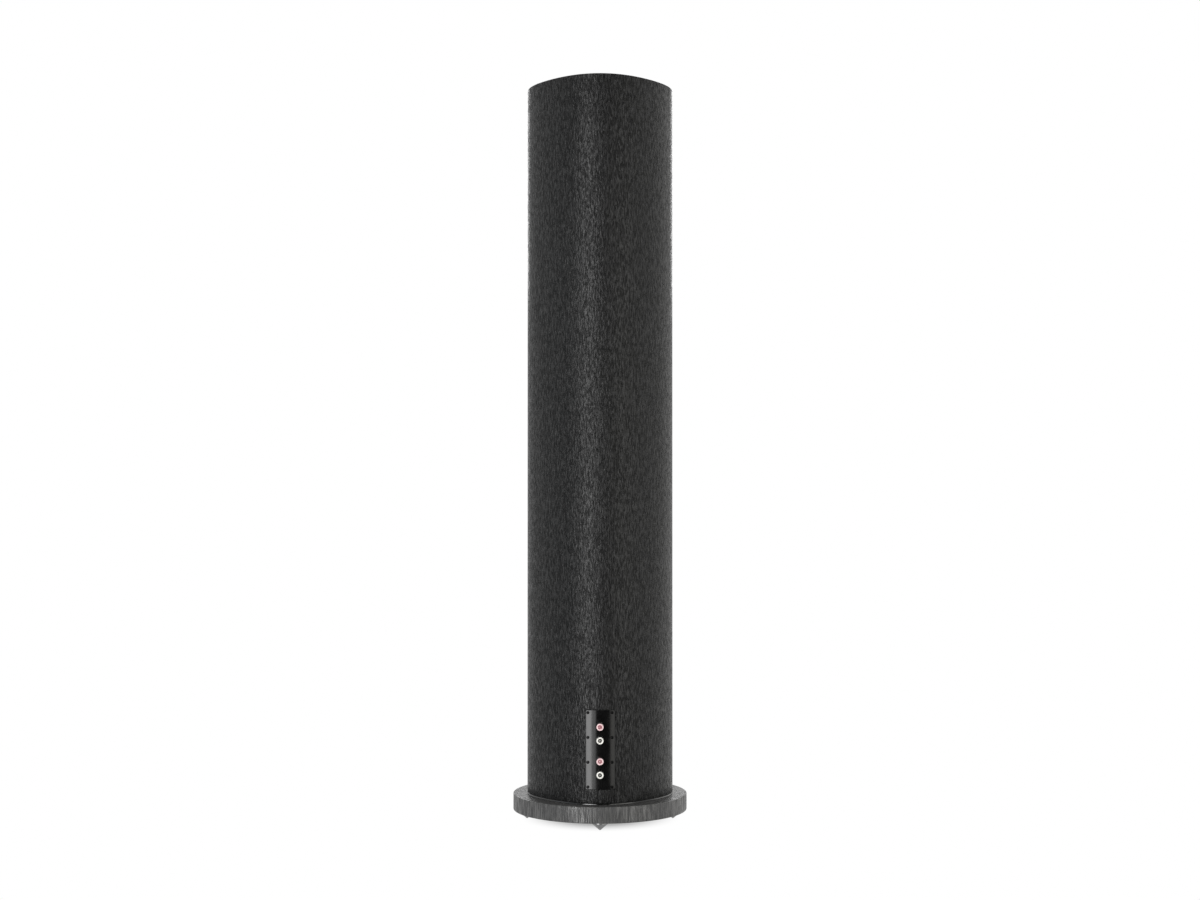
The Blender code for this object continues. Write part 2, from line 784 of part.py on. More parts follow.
def tweeter():
    place = (0, BAFFLE_FRONT - GAP, CABINET_TOP - TWEETER_BELOW_TOP)
    plate_radius, thickness = TWEETER_PLATE
    housing_radius, housing = TWEETER_HOUSING
    faceplate = [
        (plate_radius, thickness),
        (plate_radius, 0),
        (housing_radius, 0),
        (housing_radius, -housing),
        (THROAT_RADIUS, -housing),
        (THROAT_RADIUS, -THROAT_SET_BACK),
        (THROAT_RADIUS + HORN_WIDTH, thickness),
    ]
    turned("tweeter_faceplate", faceplate, "black", place, FACING_FRONT, True)
    magnet_radius, magnet_length = TWEETER_MAGNET
    top = -housing - GAP
    magnet = grooved_magnet(DOME_RADIUS, TWEETER_COIL_GAP, magnet_radius, top, magnet_length)
    turned("tweeter_magnet", magnet, "ferrite", place, FACING_FRONT)
    turned("tweeter_dome", dome_profile(top - TWEETER_COIL_REACH), "silk", place, FACING_FRONT)


def dome_profile(coil_end):
    """The dome and its coil as one skin, from the middle of the front to that of the back."""
    arc = [math.pi / 2 * i / DOME_STEPS for i in range(DOME_STEPS + 1)]

    def quarter(radius, foot):
        return [(radius * math.sin(a), foot + DOME_RISE * math.cos(a)) for a in arc]

    inside = DOME_RADIUS - DOME_SKIN
    coil = [(DOME_RADIUS, coil_end), (inside, coil_end)]
    inner = quarter(inside, -DOME_SET_BACK - DOME_SKIN)
    return quarter(DOME_RADIUS, -DOME_SET_BACK) + coil + inner[::-1]


def port_tube():
    bore, radius, length = PORT
    flange_radius, flange = PORT_FLANGE
    profile = [
        (bore + flange, flange),
        (flange_radius, flange),
        (flange_radius, 0),
        (radius, 0),
        (radius, -length),
        (bore, -length),
        (bore, -flange),
    ]
    place = (0, BAFFLE_FRONT - GAP, CABINET_TOP - PORT_BELOW_TOP)
    turned("port_tube", profile, "black", place, FACING_FRONT, True)


# Grille ----------------------------------------------------------------------------------------


def grille_heights():
    return CABINET_BOTTOM + GRILLE_MARGIN, CABINET_TOP - GRILLE_MARGIN


def upright(obj, front):
    """Stands a plate up, so that what it had as y becomes height, with its front face at this y."""
    obj.rotation_euler = FACING_FRONT
    obj.location = (0, front, 0)
    return obj


def grille_frame():
    low, high = grille_heights()
    edges = [low + GRILLE_END_BAR]
    for below in sorted(GRILLE_BARS_BELOW_TOP, reverse=True):
        edges += [CABINET_TOP - below - GRILLE_BAR / 2, CABINET_TOP - below + GRILLE_BAR / 2]
    edges.append(high - GRILLE_END_BAR)
    outlines = [
        rounded_rectangle((-GRILLE_HALF_WIDTH, low), (GRILLE_HALF_WIDTH, high), GRILLE_CORNER)
    ]
    for bottom, top in zip(edges[::2], edges[1::2]):
        outlines.append(
            rounded_rectangle(
                (-GRILLE_OPENING_HALF_WIDTH, bottom), (GRILLE_OPENING_HALF_WIDTH, top),
                GRILLE_OPENING_CORNER, 2,
            )
        )
    frame = plate("grille_frame", outlines, 0, GRILLE_DEPTH, "black")
    frame = as_mesh(upright(frame, BAFFLE_FRONT - GAP - GRILLE_DEPTH / 2))
    for row, height in enumerate(peg_places()):
        for side in (-1, 1):
            peg = rod_cutter(
                f"grille_peg_{row}_{side}", PEG[0], -PEG[1], GRILLE_DEPTH / 2,
                (side * PEG_OFFSET, BAFFLE_FRONT, height), FACING_FRONT, PILOT_STEPS,
            )
            boolean(frame, peg, "UNION")


def grille_cloth():
    low, high = grille_heights()
    outline = rounded_rectangle((-GRILLE_HALF_WIDTH, low), (GRILLE_HALF_WIDTH, high), GRILLE_CORNER)
    cloth = plate("grille_cloth", [outline], 0, GRILLE_CLOTH, "fabric")
    upright(cloth, BAFFLE_FRONT - 2 * GAP - GRILLE_DEPTH - GRILLE_CLOTH / 2)


# Crossover -------------------------------------------------------------------------------------


def crossover():
    width, depth, thickness = BOARD
    top = SHELL_BOTTOM + thickness
    low = SHELL_BOTTOM
    box("crossover_board", (-width / 2, -depth / 2, low), (width / 2, depth / 2, top), "circuit")
    inner, outer, height = COIL
    coil = [(outer, height), (outer, 0), (inner, 0), (inner, height)]
    turned("crossover_coil", coil, "copper", (*COIL_PLACE, top + GAP), closed=True)
    radius, height = CAPACITOR
    can = [(0, height), (radius, height), (radius, 0), (0, 0)]
    turned("crossover_capacitor", can, "black", (*CAPACITOR_PLACE, top + GAP))


cabinet_shell()
end_panels()
shelves()
damping_pad()
front_baffle()
base()
spikes()
terminal_panel()
panel_screws()
for post_name, post_height in post_heights().items():
    post(post_name, post_height)
cone_driver("midrange", MIDRANGE, MIDRANGE_BELOW_TOP)
for woofer_name, woofer_below in WOOFERS_BELOW_TOP.items():
    cone_driver(woofer_name, WOOFER, woofer_below)
tweeter()
port_tube()
grille_frame()
grille_cloth()
crossover()
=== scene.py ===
"""The looks of the floor-standing loudspeaker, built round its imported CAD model.

Metres, +Z up, in the CAD model's own frame: the terminals face +Y, and the drivers face -Y.
"""

import math
import random

import bmesh
import bpy
from mathutils import Matrix, Vector

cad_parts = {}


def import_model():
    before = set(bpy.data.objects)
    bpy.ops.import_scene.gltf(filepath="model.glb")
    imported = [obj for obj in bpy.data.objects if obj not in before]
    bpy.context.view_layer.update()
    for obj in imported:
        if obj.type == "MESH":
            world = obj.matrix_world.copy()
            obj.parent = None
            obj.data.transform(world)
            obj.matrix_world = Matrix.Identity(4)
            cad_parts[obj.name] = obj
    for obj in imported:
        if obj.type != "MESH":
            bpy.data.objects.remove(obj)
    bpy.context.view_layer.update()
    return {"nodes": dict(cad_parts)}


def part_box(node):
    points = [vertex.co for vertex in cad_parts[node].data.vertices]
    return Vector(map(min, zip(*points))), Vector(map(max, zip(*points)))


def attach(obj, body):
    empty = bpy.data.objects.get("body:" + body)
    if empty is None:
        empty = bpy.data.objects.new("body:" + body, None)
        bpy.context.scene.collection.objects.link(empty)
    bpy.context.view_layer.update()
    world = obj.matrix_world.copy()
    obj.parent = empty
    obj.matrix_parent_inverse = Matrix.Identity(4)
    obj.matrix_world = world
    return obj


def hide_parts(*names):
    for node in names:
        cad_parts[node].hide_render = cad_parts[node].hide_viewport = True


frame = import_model()

MM = 0.001


# Sizes ------------------------------------------

PLAN_SWELL = 0.03  # the plan is a circle that swells this much at its four compass points
PLAN_STEPS = 240  # outline points in a whole turn

CABINET_HALF_WIDTH = 107 * MM
WALL = 15 * MM
SHELL_LOW, SHELL_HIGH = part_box("cabinet_shell")
CABINET_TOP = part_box("top_panel")[1].z
CABINET_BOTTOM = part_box("bottom_panel")[0].z
BAFFLE_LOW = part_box("front_baffle")[0]
PLATE_LOW, PLATE_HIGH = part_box("base_plate")
PLINTH_LOW, PLINTH_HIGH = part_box("plinth")
PANEL_LOW, PANEL_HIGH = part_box("terminal_panel")
PANEL_THICKNESS = 2.5 * MM
TOUCHING_GAP = 0.3 * MM

SPIKES = ("back", "left", "right", "front")
POSTS = ("high_red", "high_black", "low_red", "low_black")
SCREWS = 8

UP = (0, 0, 1)
BACK = (0, 1, 0)
FRONT = (0, -1, 0)


def middle(node):
    low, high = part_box(node)
    return (low + high) / 2


# The plan outline -------------------------------


def plan_point(half_width, angle, offset=0.0):
    """A point of the plan outline, at this angle from +X, moved out along the outline's normal."""
    base = half_width / (1 + PLAN_SWELL)
    radius = base * (1 + PLAN_SWELL * math.cos(4 * angle))
    slope = -4 * base * PLAN_SWELL * math.sin(4 * angle)
    along = Vector((math.cos(angle), math.sin(angle)))
    across = Vector((-math.sin(angle), math.cos(angle)))
    tangent = (along * slope + across * radius).normalized()
    return along * radius + Vector((tangent.y, -tangent.x)) * offset


def solve(function, target, low, high, halvings=40):
    """Where a falling function meets the target, by halving."""
    for _ in range(halvings):
        guess = (low + high) / 2
        if function(guess) > target:
            low = guess
        else:
            high = guess
    return low


def cut_plan(half_width, front, offset=0.0, corner=0.0):
    """The plan outline round the back, cut off straight at the front, with its corners rounded."""
    past = solve(lambda a: plan_point(half_width, -a, offset).y, front, 0, math.pi / 2)
    steps = round(PLAN_STEPS * (math.pi + 2 * past) / (2 * math.pi))
    turn = (math.pi + 2 * past) / steps
    points = [plan_point(half_width, -past + turn * i, offset) for i in range(steps + 1)]
    if corner:
        start = round_corner(points[-1], points[0], points[1], corner)
        end = round_corner(points[-2], points[-1], points[0], corner)
        points = start + points[1:-1] + end
    return points


def round_corner(before, point, after, size, steps=6):
    """Points on a curve that cuts the corner, this far from it or most of the way to a near neighbour."""
    most = 0.9
    start = point + (before - point).normalized() * size
    end = point + (after - point).normalized() * min(size, (after - point).length * most)
    if (before - point).length < size:
        start = point + (before - point) * most
    curve = []
    for i in range(steps + 1):
        share = i / steps
        curve.append(start * (1 - share) ** 2 + point * 2 * share * (1 - share) + end * share ** 2)
    return curve


def surface_at(x, height, offset=0.0):
    """The cabinet's rear surface at this x, moved out along its normal, and that normal."""
    angle = solve(lambda a: plan_point(CABINET_HALF_WIDTH, a).x, x, 0, math.pi)
    point = plan_point(CABINET_HALF_WIDTH, angle, offset)
    normal = plan_point(CABINET_HALF_WIDTH, angle, offset + 1) - point
    return Vector((*point, height)), Vector((*normal, 0))


# Meshes -----------------------------------------


def add_piece(name, mesh, finish):
    obj = bpy.data.objects.new(name, mesh)
    bpy.context.scene.collection.objects.link(obj)
    mesh.materials.append(finish)
    return obj


def smooth(obj, degrees=30):
    obj.data.shade_smooth()
    obj.data.set_sharp_from_angle(angle=math.radians(degrees))
    return obj


def from_bmesh(name, made, finish):
    bmesh.ops.recalc_face_normals(made, faces=made.faces)
    mesh = bpy.data.meshes.new(name)
    made.to_mesh(mesh)
    made.free()
    return add_piece(name, mesh, finish)


def add_rings(made, rings):
    return [[made.verts.new(point) for point in ring] for ring in rings]


def skin_between(made, loops):
    """Faces from each loop of vertices to the next one."""
    for lower, upper in zip(loops, loops[1:]):
        for i in range(len(lower)):
            j = (i + 1) % len(lower)
            made.faces.new((lower[i], lower[j], upper[j], upper[i]))


def lofted(name, rings, finish, closed_loop=False):
    """Skins rings of the same number of points, and caps the ends or joins the last ring to the first."""
    made = bmesh.new()
    loops = add_rings(made, rings)
    if closed_loop:
        skin_between(made, loops + loops[:1])
    else:
        skin_between(made, loops)
        made.faces.new(loops[0][::-1])
        made.faces.new(loops[-1])
    return from_bmesh(name, made, finish)


def plan_solid(name, outline_at, profile, finish):
    """A solid whose outline changes with height: profile is (height, inset) from the bottom edge up."""
    rings = []
    for height, inset in profile:
        rings.append([(point.x, point.y, height) for point in outline_at(inset)])
    return smooth(lofted(name, rings, finish))


def quarter_turn(steps):
    """Angles from nothing to a right angle."""
    return [math.pi / 2 * i / steps for i in range(steps + 1)]


def edge_profile(low, high, radius, steps=4):
    """(height, inset) pairs for an upright edge with both its corners rounded."""
    corner = [(radius * (1 - math.sin(a)), radius * (1 - math.cos(a))) for a in quarter_turn(steps)]
    lower = [(low + rise, inset) for rise, inset in corner[::-1]]
    upper = [(high - rise, inset) for rise, inset in corner]
    return lower + upper


def turned(name, profile, finish, place, forward, segments=96, closed=True):
    """A piece turned about a line through place. Profile points are (radius, distance forward)."""
    made = bmesh.new()
    verts = [made.verts.new((radius, 0, along)) for radius, along in profile]
    edges = [made.edges.new(pair) for pair in zip(verts, verts[1:])]
    if closed:
        edges.append(made.edges.new((verts[-1], verts[0])))
    bmesh.ops.spin(
        made, geom=verts + edges, cent=(0, 0, 0), axis=(0, 0, 1), angle=2 * math.pi,
        steps=segments, use_merge=True, use_duplicate=False,
    )
    bmesh.ops.remove_doubles(made, verts=made.verts, dist=1e-6)
    turn = Vector(forward).to_track_quat("Z", "Y").to_matrix().to_4x4()
    made.transform(Matrix.Translation(place) @ turn)
    return smooth(from_bmesh(name, made, finish))


def arc(centre, radius, start, end, steps=6):
    """Profile points on an arc, in degrees from the radius direction towards forward."""
    points = []
    for i in range(steps + 1):
        angle = math.radians(start + (end - start) * i / steps)
        points.append((centre[0] + radius * math.cos(angle), centre[1] + radius * math.sin(angle)))
    return points


def rounded_rectangle(low, high, corner, steps=8):
    """Anticlockwise outline of a rectangle with arcs for its corners."""
    centres = (
        (high[0] - corner, low[1] + corner, -math.pi / 2),
        (high[0] - corner, high[1] - corner, 0),
        (low[0] + corner, high[1] - corner, math.pi / 2),
        (low[0] + corner, low[1] + corner, math.pi),
    )
    outline = []
    for x, y, start in centres:
        for turn in quarter_turn(steps):
            angle = start + turn
            outline.append((x + corner * math.cos(angle), y + corner * math.sin(angle)))
    return outline


def cut_away(obj, cutters):
    """Cuts the shapes out of the piece and removes them."""
    for cutter in cutters:
        modifier = obj.modifiers.new("cut", "BOOLEAN")
        modifier.operation = "DIFFERENCE"
        modifier.object = cutter
    graph = bpy.context.evaluated_depsgraph_get()
    finished = bpy.data.meshes.new_from_object(obj.evaluated_get(graph))
    obj.modifiers.clear()
    obj.data = finished
    for cutter in cutters:
        bpy.data.objects.remove(cutter)
    return smooth(obj)


def rod(name, radius, start, end, place, forward, segments=48):
    profile = [(0, end), (radius, end), (radius, start), (0, start)]
    return turned(name, profile, CUTTER_FINISH, place, forward, segments, closed=False)


# Materials --------------------------------------


def map_range(nodes, low, high, to_low, to_high):
    made = nodes.new("ShaderNodeMapRange")
    for socket, number in zip(made.inputs[1:5], (low, high, to_low, to_high)):
        socket.default_value = number
    return made


class Finish:
    """A Principled material being built, with short calls for the nodes used here."""

    def __init__(self, name, **sockets):
        self.material = bpy.data.materials.new(name)
        self.material.use_nodes = True
        self.tree = self.material.node_tree
        self.shader = self.tree.nodes["Principled BSDF"]
        for socket, value in sockets.items():
            self.shader.inputs[socket.replace("_", " ")].default_value = value

    def node(self, kind, **settings):
        made = self.tree.nodes.new(kind)
        for key, value in settings.items():
            setattr(made, key, value)
        return made

    def link(self, source, target):
        self.tree.links.new(source, target)

    def texture(self, kind, scales, **sockets):
        """A texture in the piece's own coordinates, in metres, times one scale or one for each axis."""
        if isinstance(scales, (int, float)):
            scales = (scales, scales, scales)
        mapping = self.node("ShaderNodeMapping")
        mapping.inputs["Scale"].default_value = scales
        self.link(self.node("ShaderNodeTexCoord").outputs["Object"], mapping.inputs["Vector"])
        made = self.node(kind)
        made.inputs["Scale"].default_value = 1
        for socket, value in sockets.items():
            made.inputs[socket.replace("_", " ")].default_value = value
        self.link(mapping.outputs["Vector"], made.inputs["Vector"])
        return made

    def noise(self, scales, detail, roughness=0.5, distortion=0.0):
        made = self.texture(
            "ShaderNodeTexNoise", scales, Detail=detail, Roughness=roughness, Distortion=distortion
        )
        return made.outputs["Fac"]

    def cells(self, scales):
        return self.texture("ShaderNodeTexVoronoi", scales).outputs["Distance"]

    def waves(self, scales, distortion, direction):
        made = self.texture("ShaderNodeTexWave", scales, Distortion=distortion)
        made.bands_direction = direction
        return made.outputs["Fac"]

    def math(self, operation, first, second):
        made = self.node("ShaderNodeMath", operation=operation)
        for socket, value in zip(made.inputs, (first, second)):
            if isinstance(value, (int, float)):
                socket.default_value = value
            else:
                self.link(value, socket)
        return made.outputs[0]

    def blend(self, *parts):
        """The sum of several values, each one times its own share."""
        total = None
        for value, share in parts:
            term = self.math("MULTIPLY", value, share)
            total = self.math("ADD", total, term) if total else term
        return total

    def upside_down(self, value):
        return self.math("SUBTRACT", 1, value)

    def ranged(self, value, low, high, to_low, to_high):
        """The value's span from low to high, stretched to another span and clamped."""
        made = map_range(self.tree.nodes, low, high, to_low, to_high)
        self.link(value, made.inputs[0])
        return made.outputs[0]

    def ramp(self, value, *stops):
        """Colours at positions from 0 to 1: each stop is (position, (r, g, b))."""
        made = self.node("ShaderNodeValToRGB")
        elements = made.color_ramp.elements
        while len(elements) < len(stops):
            elements.new(0.5)
        for element, (position, color) in zip(elements, stops):
            element.position = position
            element.color = (*color, 1)
        self.link(value, made.inputs["Fac"])
        return made.outputs["Color"]

    def color(self, source):
        self.link(source, self.shader.inputs["Base Color"])

    def roughness(self, source):
        self.link(source, self.shader.inputs["Roughness"])

    def bump(self, height, distance, strength):
        """Adds relief, on top of any that is there already."""
        made = self.node("ShaderNodeBump")
        made.inputs["Distance"].default_value = distance
        made.inputs["Strength"].default_value = strength
        self.link(height, made.inputs["Height"])
        normal = self.shader.inputs["Normal"]
        if normal.is_linked:
            self.link(normal.links[0].from_socket, made.inputs["Normal"])
        self.link(made.outputs["Normal"], normal)


def grey(value):
    return (value, value, value)


def wood(name, dark, light, roughness, specular, relief, stretch, along=2):
    """Stained open-grained wood: short strokes along one axis, pores between them, and a slow figure.

    Relief is in millimetres, and the grain is longer than it is wide by the stretch.
    """
    finish = Finish(name, Specular_IOR_Level=specular)

    def grain(scale, detail, coarse, times=stretch):
        scales = [scale] * 3
        scales[along] = scale / times
        return finish.noise(scales, detail, coarse, 0.1)

    figure = grain(30, 2, 0.5, 12)
    strokes = grain(620, 2, 0.6)
    fibres = grain(1300, 2, 0.5)
    pores = grain(820, 1, 0.5)
    pore_depth = finish.ranged(pores, 0.55, 0.66, 0, 1)
    tone = finish.blend((strokes, 0.76), (fibres, 0.20), (figure, 0.04), (pore_depth, -0.12))
    finish.color(finish.ramp(tone, (0.42, dark), (0.49, mix(dark, light, 0.30)), (0.57, light)))
    finish.roughness(finish.ranged(tone, 0.41, 0.56, roughness + 0.20, roughness - 0.12))
    finish.bump(strokes, relief * MM, 0.8)
    finish.bump(finish.upside_down(pore_depth), relief * 0.4 * MM, 0.8)
    finish.bump(fibres, relief * 0.1 * MM, 0.6)
    return finish.material


def mix(first, second, share):
    return tuple(a + (b - a) * share for a, b in zip(first, second))


def gloss_black(name, low, high, specular):
    """Polished moulding: faint orange peel, and smears that change its gloss a little."""
    finish = Finish(name, Specular_IOR_Level=specular)
    smears = finish.noise(60, 4, 0.6)
    finish.color(finish.ramp(smears, (0.3, grey(0.0030)), (0.7, grey(0.0050))))
    finish.roughness(finish.ranged(smears, 0.35, 0.65, low, high))
    finish.bump(finish.noise(260, 1), 0.02 * MM, 0.25)
    return finish.material


def moulded(name, color, roughness=0.45, grain=1400, depth=0.03):
    """Moulded plastic with a fine spark-eroded texture."""
    finish = Finish(name)
    clouds = finish.noise(90, 3)
    texture = finish.noise(grain, 2, 0.6)
    darker, paler = mix(color, grey(0), 0.15), mix(color, grey(1), 0.02)
    finish.color(finish.ramp(clouds, (0.3, darker), (0.7, paler)))
    finish.roughness(finish.ranged(texture, 0.3, 0.7, roughness - 0.06, roughness + 0.08))
    finish.bump(texture, depth * MM, 0.6)
    return finish.material


def metal(name, dark, light, roughness, lines=900, depth=0.01):
    """Metal whose tone and gloss vary along fine machining lines."""
    finish = Finish(name, Metallic=1.0)
    marks = finish.noise(lines, 3, 0.6)
    smears = finish.noise(140, 2)
    finish.color(finish.ramp(marks, (0.3, dark), (0.7, light)))
    finish.roughness(finish.ranged(smears, 0.3, 0.7, roughness * 0.75, roughness * 1.3))
    finish.bump(marks, depth * MM, 0.5)
    return finish.material


def fibrous(name, dark, light, roughness, grain, depth):
    """Paper, wadding, board or rubber: a mottled surface of short fibres or grains."""
    finish = Finish(name, Specular_IOR_Level=0.3)
    fibres = finish.noise(grain, 5, 0.65, 0.8)
    clouds = finish.noise(35, 2)
    mottle = finish.blend((fibres, 0.75), (clouds, 0.25))
    finish.color(finish.ramp(mottle, (0.36, dark), (0.64, light)))
    finish.roughness(finish.ranged(fibres, 0.3, 0.7, roughness - 0.08, roughness + 0.08))
    finish.bump(fibres, depth * MM, 0.8)
    return finish.material


def knitted(name, dark, light, pitch, roughness=0.9):
    """Stretched cloth: rows of small loops, with darker holes between them."""
    finish = Finish(name, Specular_IOR_Level=0.2, Sheen_Weight=0.15)
    scale = 1 / pitch
    loops = finish.cells((scale, scale, scale * 0.8))
    strands = finish.waves(scale * 0.32, 0.6, "X")
    weave = finish.blend((loops, 0.7), (strands, 0.3))
    finish.color(finish.ramp(weave, (0.2, light), (0.6, dark)))
    finish.roughness(finish.ranged(loops, 0.1, 0.6, roughness - 0.1, roughness))
    finish.bump(finish.upside_down(weave), 0.25 * MM, 0.8)
    return finish.material


def wound(name, dark, light, pitch):
    """Enamelled wire, wound in level turns."""
    finish = Finish(name, Metallic=1.0)
    turns = finish.waves(0.5 / pitch / 3, 0.2, "Z")
    finish.color(finish.ramp(turns, (0.0, dark), (1.0, light)))
    finish.roughness(finish.ranged(turns, 0, 1, 0.45, 0.25))
    finish.bump(turns, pitch / 2, 0.8)
    return finish.material


def printed_board(name):
    """Green lacquer over paler copper tracks."""
    finish = Finish(name)
    tracks = finish.texture(
        "ShaderNodeTexBrick", 60, Mortar_Size=0.12,
        Color1=(0.030, 0.13, 0.05, 1), Color2=(0.035, 0.15, 0.06, 1), Mortar=(0.012, 0.06, 0.02, 1),
    )
    finish.color(tracks.outputs["Color"])
    finish.roughness(finish.ranged(tracks.outputs["Fac"], 0, 1, 0.3, 0.5))
    finish.bump(finish.upside_down(tracks.outputs["Fac"]), 0.1 * MM, 0.6)
    return finish.material


CUTTER_FINISH = bpy.data.materials.new("cutter")

# Dark and light colour, roughness, specular level, relief and stretch.
BLACK_ASH = (grey(0.0003), grey(0.027), 0.26, 0.28, 0.80, 5.5)
GREY_ASH = (grey(0.046), (0.108, 0.107, 0.105), 0.35, 0.55, 0.22, 14)
VENEER = wood("black_ash", *BLACK_ASH)
VENEER_TOP = wood("black_ash_top", *BLACK_ASH, along=1)
PLINTH_WOOD = wood("grey_ash", *GREY_ASH)
PLINTH_TOP = wood("grey_ash_top", *GREY_ASH, along=0)
EDGE_GLOSS = gloss_black("edge_gloss", 0.10, 0.20, 1.0)
PANEL_GLOSS = gloss_black("panel_gloss", 0.10, 0.17, 0.48)
BLACK_PLASTIC = moulded("black_plastic", (0.010, 0.010, 0.010))
SLEEVE_BLACK = moulded("sleeve_black", (0.006, 0.006, 0.006), 0.35)
SLEEVE_RED = moulded("sleeve_red", (0.16, 0.012, 0.020), 0.35)
PLUG_RED = moulded("plug_red", (0.42, 0.15, 0.18), 0.40)
PLUG_BLACK = moulded("plug_black", (0.055, 0.055, 0.048), 0.40)
SPIKE_STEEL = metal("satin_steel", grey(0.22), grey(0.36), 0.34, (60, 60, 4200), 0.02)
NICKEL = metal("nickel", (0.78, 0.77, 0.75), (0.90, 0.89, 0.87), 0.16, 700, 0.004)
# Painted sheen: the end rings' near-white colour, pink on the red posts, stands in for the bright
# reflection of a satin metal ring.
RING_PALE_PAINTED_SHEEN = moulded("pale_ring_painted_sheen", (0.93, 0.92, 0.86), 0.30, 900, 0.01)
RING_PINK_PAINTED_SHEEN = moulded("pink_ring_painted_sheen", (0.94, 0.68, 0.69), 0.30, 900, 0.01)
SCREW_STEEL = metal("black_steel", grey(0.012), grey(0.022), 0.40)
CONE_PAPER = fibrous("cone_paper", grey(0.008), grey(0.020), 0.62, 260, 0.10)
RUBBER = fibrous("rubber", grey(0.006), grey(0.011), 0.62, 900, 0.02)
FERRITE = fibrous("ferrite", grey(0.020), grey(0.045), 0.66, 500, 0.05)
BOARD = fibrous("fibreboard", (0.30, 0.21, 0.13), (0.46, 0.34, 0.22), 0.85, 600, 0.05)
WADDING = fibrous("wadding", grey(0.62), grey(0.84), 0.95, 420, 0.60)
BAFFLE_PAINT = fibrous("baffle_paint", grey(0.007), grey(0.012), 0.50, 800, 0.02)
SILK = knitted("dome_silk", grey(0.008), grey(0.022), 0.35 * MM, 0.55)
GRILLE_CLOTH = knitted("grille_fabric", grey(0.003), grey(0.016), 0.9 * MM)
COPPER = wound("copper_wire", (0.28, 0.10, 0.05), (0.62, 0.26, 0.13), 1.2 * MM)
CIRCUIT = printed_board("circuit")
CAPACITOR = moulded("capacitor_sleeve", (0.012, 0.014, 0.030), 0.30)


# Cabinet and base -------------------------------


def cabinet_skin():
    """The veneered shell with its top and bottom, hollow, and open where the baffle stands."""
    corner, edge = 2 * MM, 0.6 * MM

    def outline(inset):
        return cut_plan(CABINET_HALF_WIDTH, BAFFLE_LOW.y + inset, -inset, corner)

    skin = plan_solid("cabinet_skin", outline, edge_profile(CABINET_BOTTOM, CABINET_TOP, edge), VENEER)
    inner = cut_plan(CABINET_HALF_WIDTH, SHELL_LOW.y, -WALL)
    beyond = 2 * CABINET_HALF_WIDTH
    opening = [(-beyond, SHELL_LOW.y), (-beyond, -beyond), (beyond, -beyond), (beyond, SHELL_LOW.y)]
    hollow = [(point.x, point.y) for point in inner] + opening
    rings = [[(x, y, height) for x, y in hollow] for height in (SHELL_LOW.z, SHELL_HIGH.z)]
    cutters = [lofted("hollow", rings, CUTTER_FINISH), terminal_cutout()]
    cut_away(skin, cutters)
    level_faces(skin, VENEER_TOP)
    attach(skin, "cabinet")
    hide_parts("cabinet_shell", "top_panel", "bottom_panel")


def level_faces(obj, finish, nearly_upright=0.9):
    """Gives the faces that lie level their own finish, with its grain lying level too."""
    obj.data.materials.append(finish)
    for face in obj.data.polygons:
        if abs(face.normal.z) > nearly_upright:
            face.material_index = 1


def terminal_cutout():
    """The hole in the cabinet's back behind the terminal panel."""
    half_width, margin, corner = 11.5 * MM, 9 * MM, 4 * MM
    outline = rounded_rectangle(
        (-half_width, PANEL_LOW.z + margin), (half_width, PANEL_HIGH.z - margin), corner
    )
    depths = (CABINET_HALF_WIDTH - 2 * WALL, CABINET_HALF_WIDTH + WALL)
    rings = [[(x, depth, height) for x, height in outline] for depth in depths]
    return lofted("terminal_hole", rings, CUTTER_FINISH)


def base_plate():
    """A polished plate whose edge leans in a little towards its top."""
    low, high, ease, lean, corner = PLATE_LOW.z, PLATE_HIGH.z, 0.15 * MM, 0.45 * MM, 2 * MM
    profile = [(low, ease), (low + ease, 0), (high - ease, lean), (high, lean + ease)]

    def outline(inset):
        return cut_plan(CABINET_HALF_WIDTH, PLATE_LOW.y + inset, -inset, corner)

    made = plan_solid("base_plate_gloss", outline, profile, EDGE_GLOSS)
    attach(made, "cabinet")
    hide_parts("base_plate")


def plinth():
    """A round board with eased edges, and a hole for each spike's threaded insert."""
    edge, hole, reach_up = 0.8 * MM, 4.3 * MM, 20 * MM
    radius = PLINTH_HIGH.x
    middle_y = PLINTH_HIGH.y - radius

    def outline(inset):
        turns = [2 * math.pi * i / PLAN_STEPS for i in range(PLAN_STEPS)]
        reach = radius - inset
        return [Vector((reach * math.cos(a), middle_y + reach * math.sin(a))) for a in turns]

    made = plan_solid("plinth_wood", outline, edge_profile(PLINTH_LOW.z, PLINTH_HIGH.z, edge), PLINTH_WOOD)
    cutters = []
    for name in SPIKES:
        spot = middle(f"spike_{name}")
        place = (spot.x, spot.y, PLINTH_LOW.z)
        cutters.append(rod(f"insert_hole_{name}", hole, -reach_up, reach_up, place, UP))
    cut_away(made, cutters)
    level_faces(made, PLINTH_TOP)
    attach(made, "cabinet")
    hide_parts("plinth")


def thread(shaft, top, pitch, groove, count):
    """Profile points down the outside of a thread, from its first crest."""
    points = []
    for i in range(count):
        crest = top - i * pitch
        points += [(shaft, crest), (shaft - groove, crest - pitch / 2)]
    return points


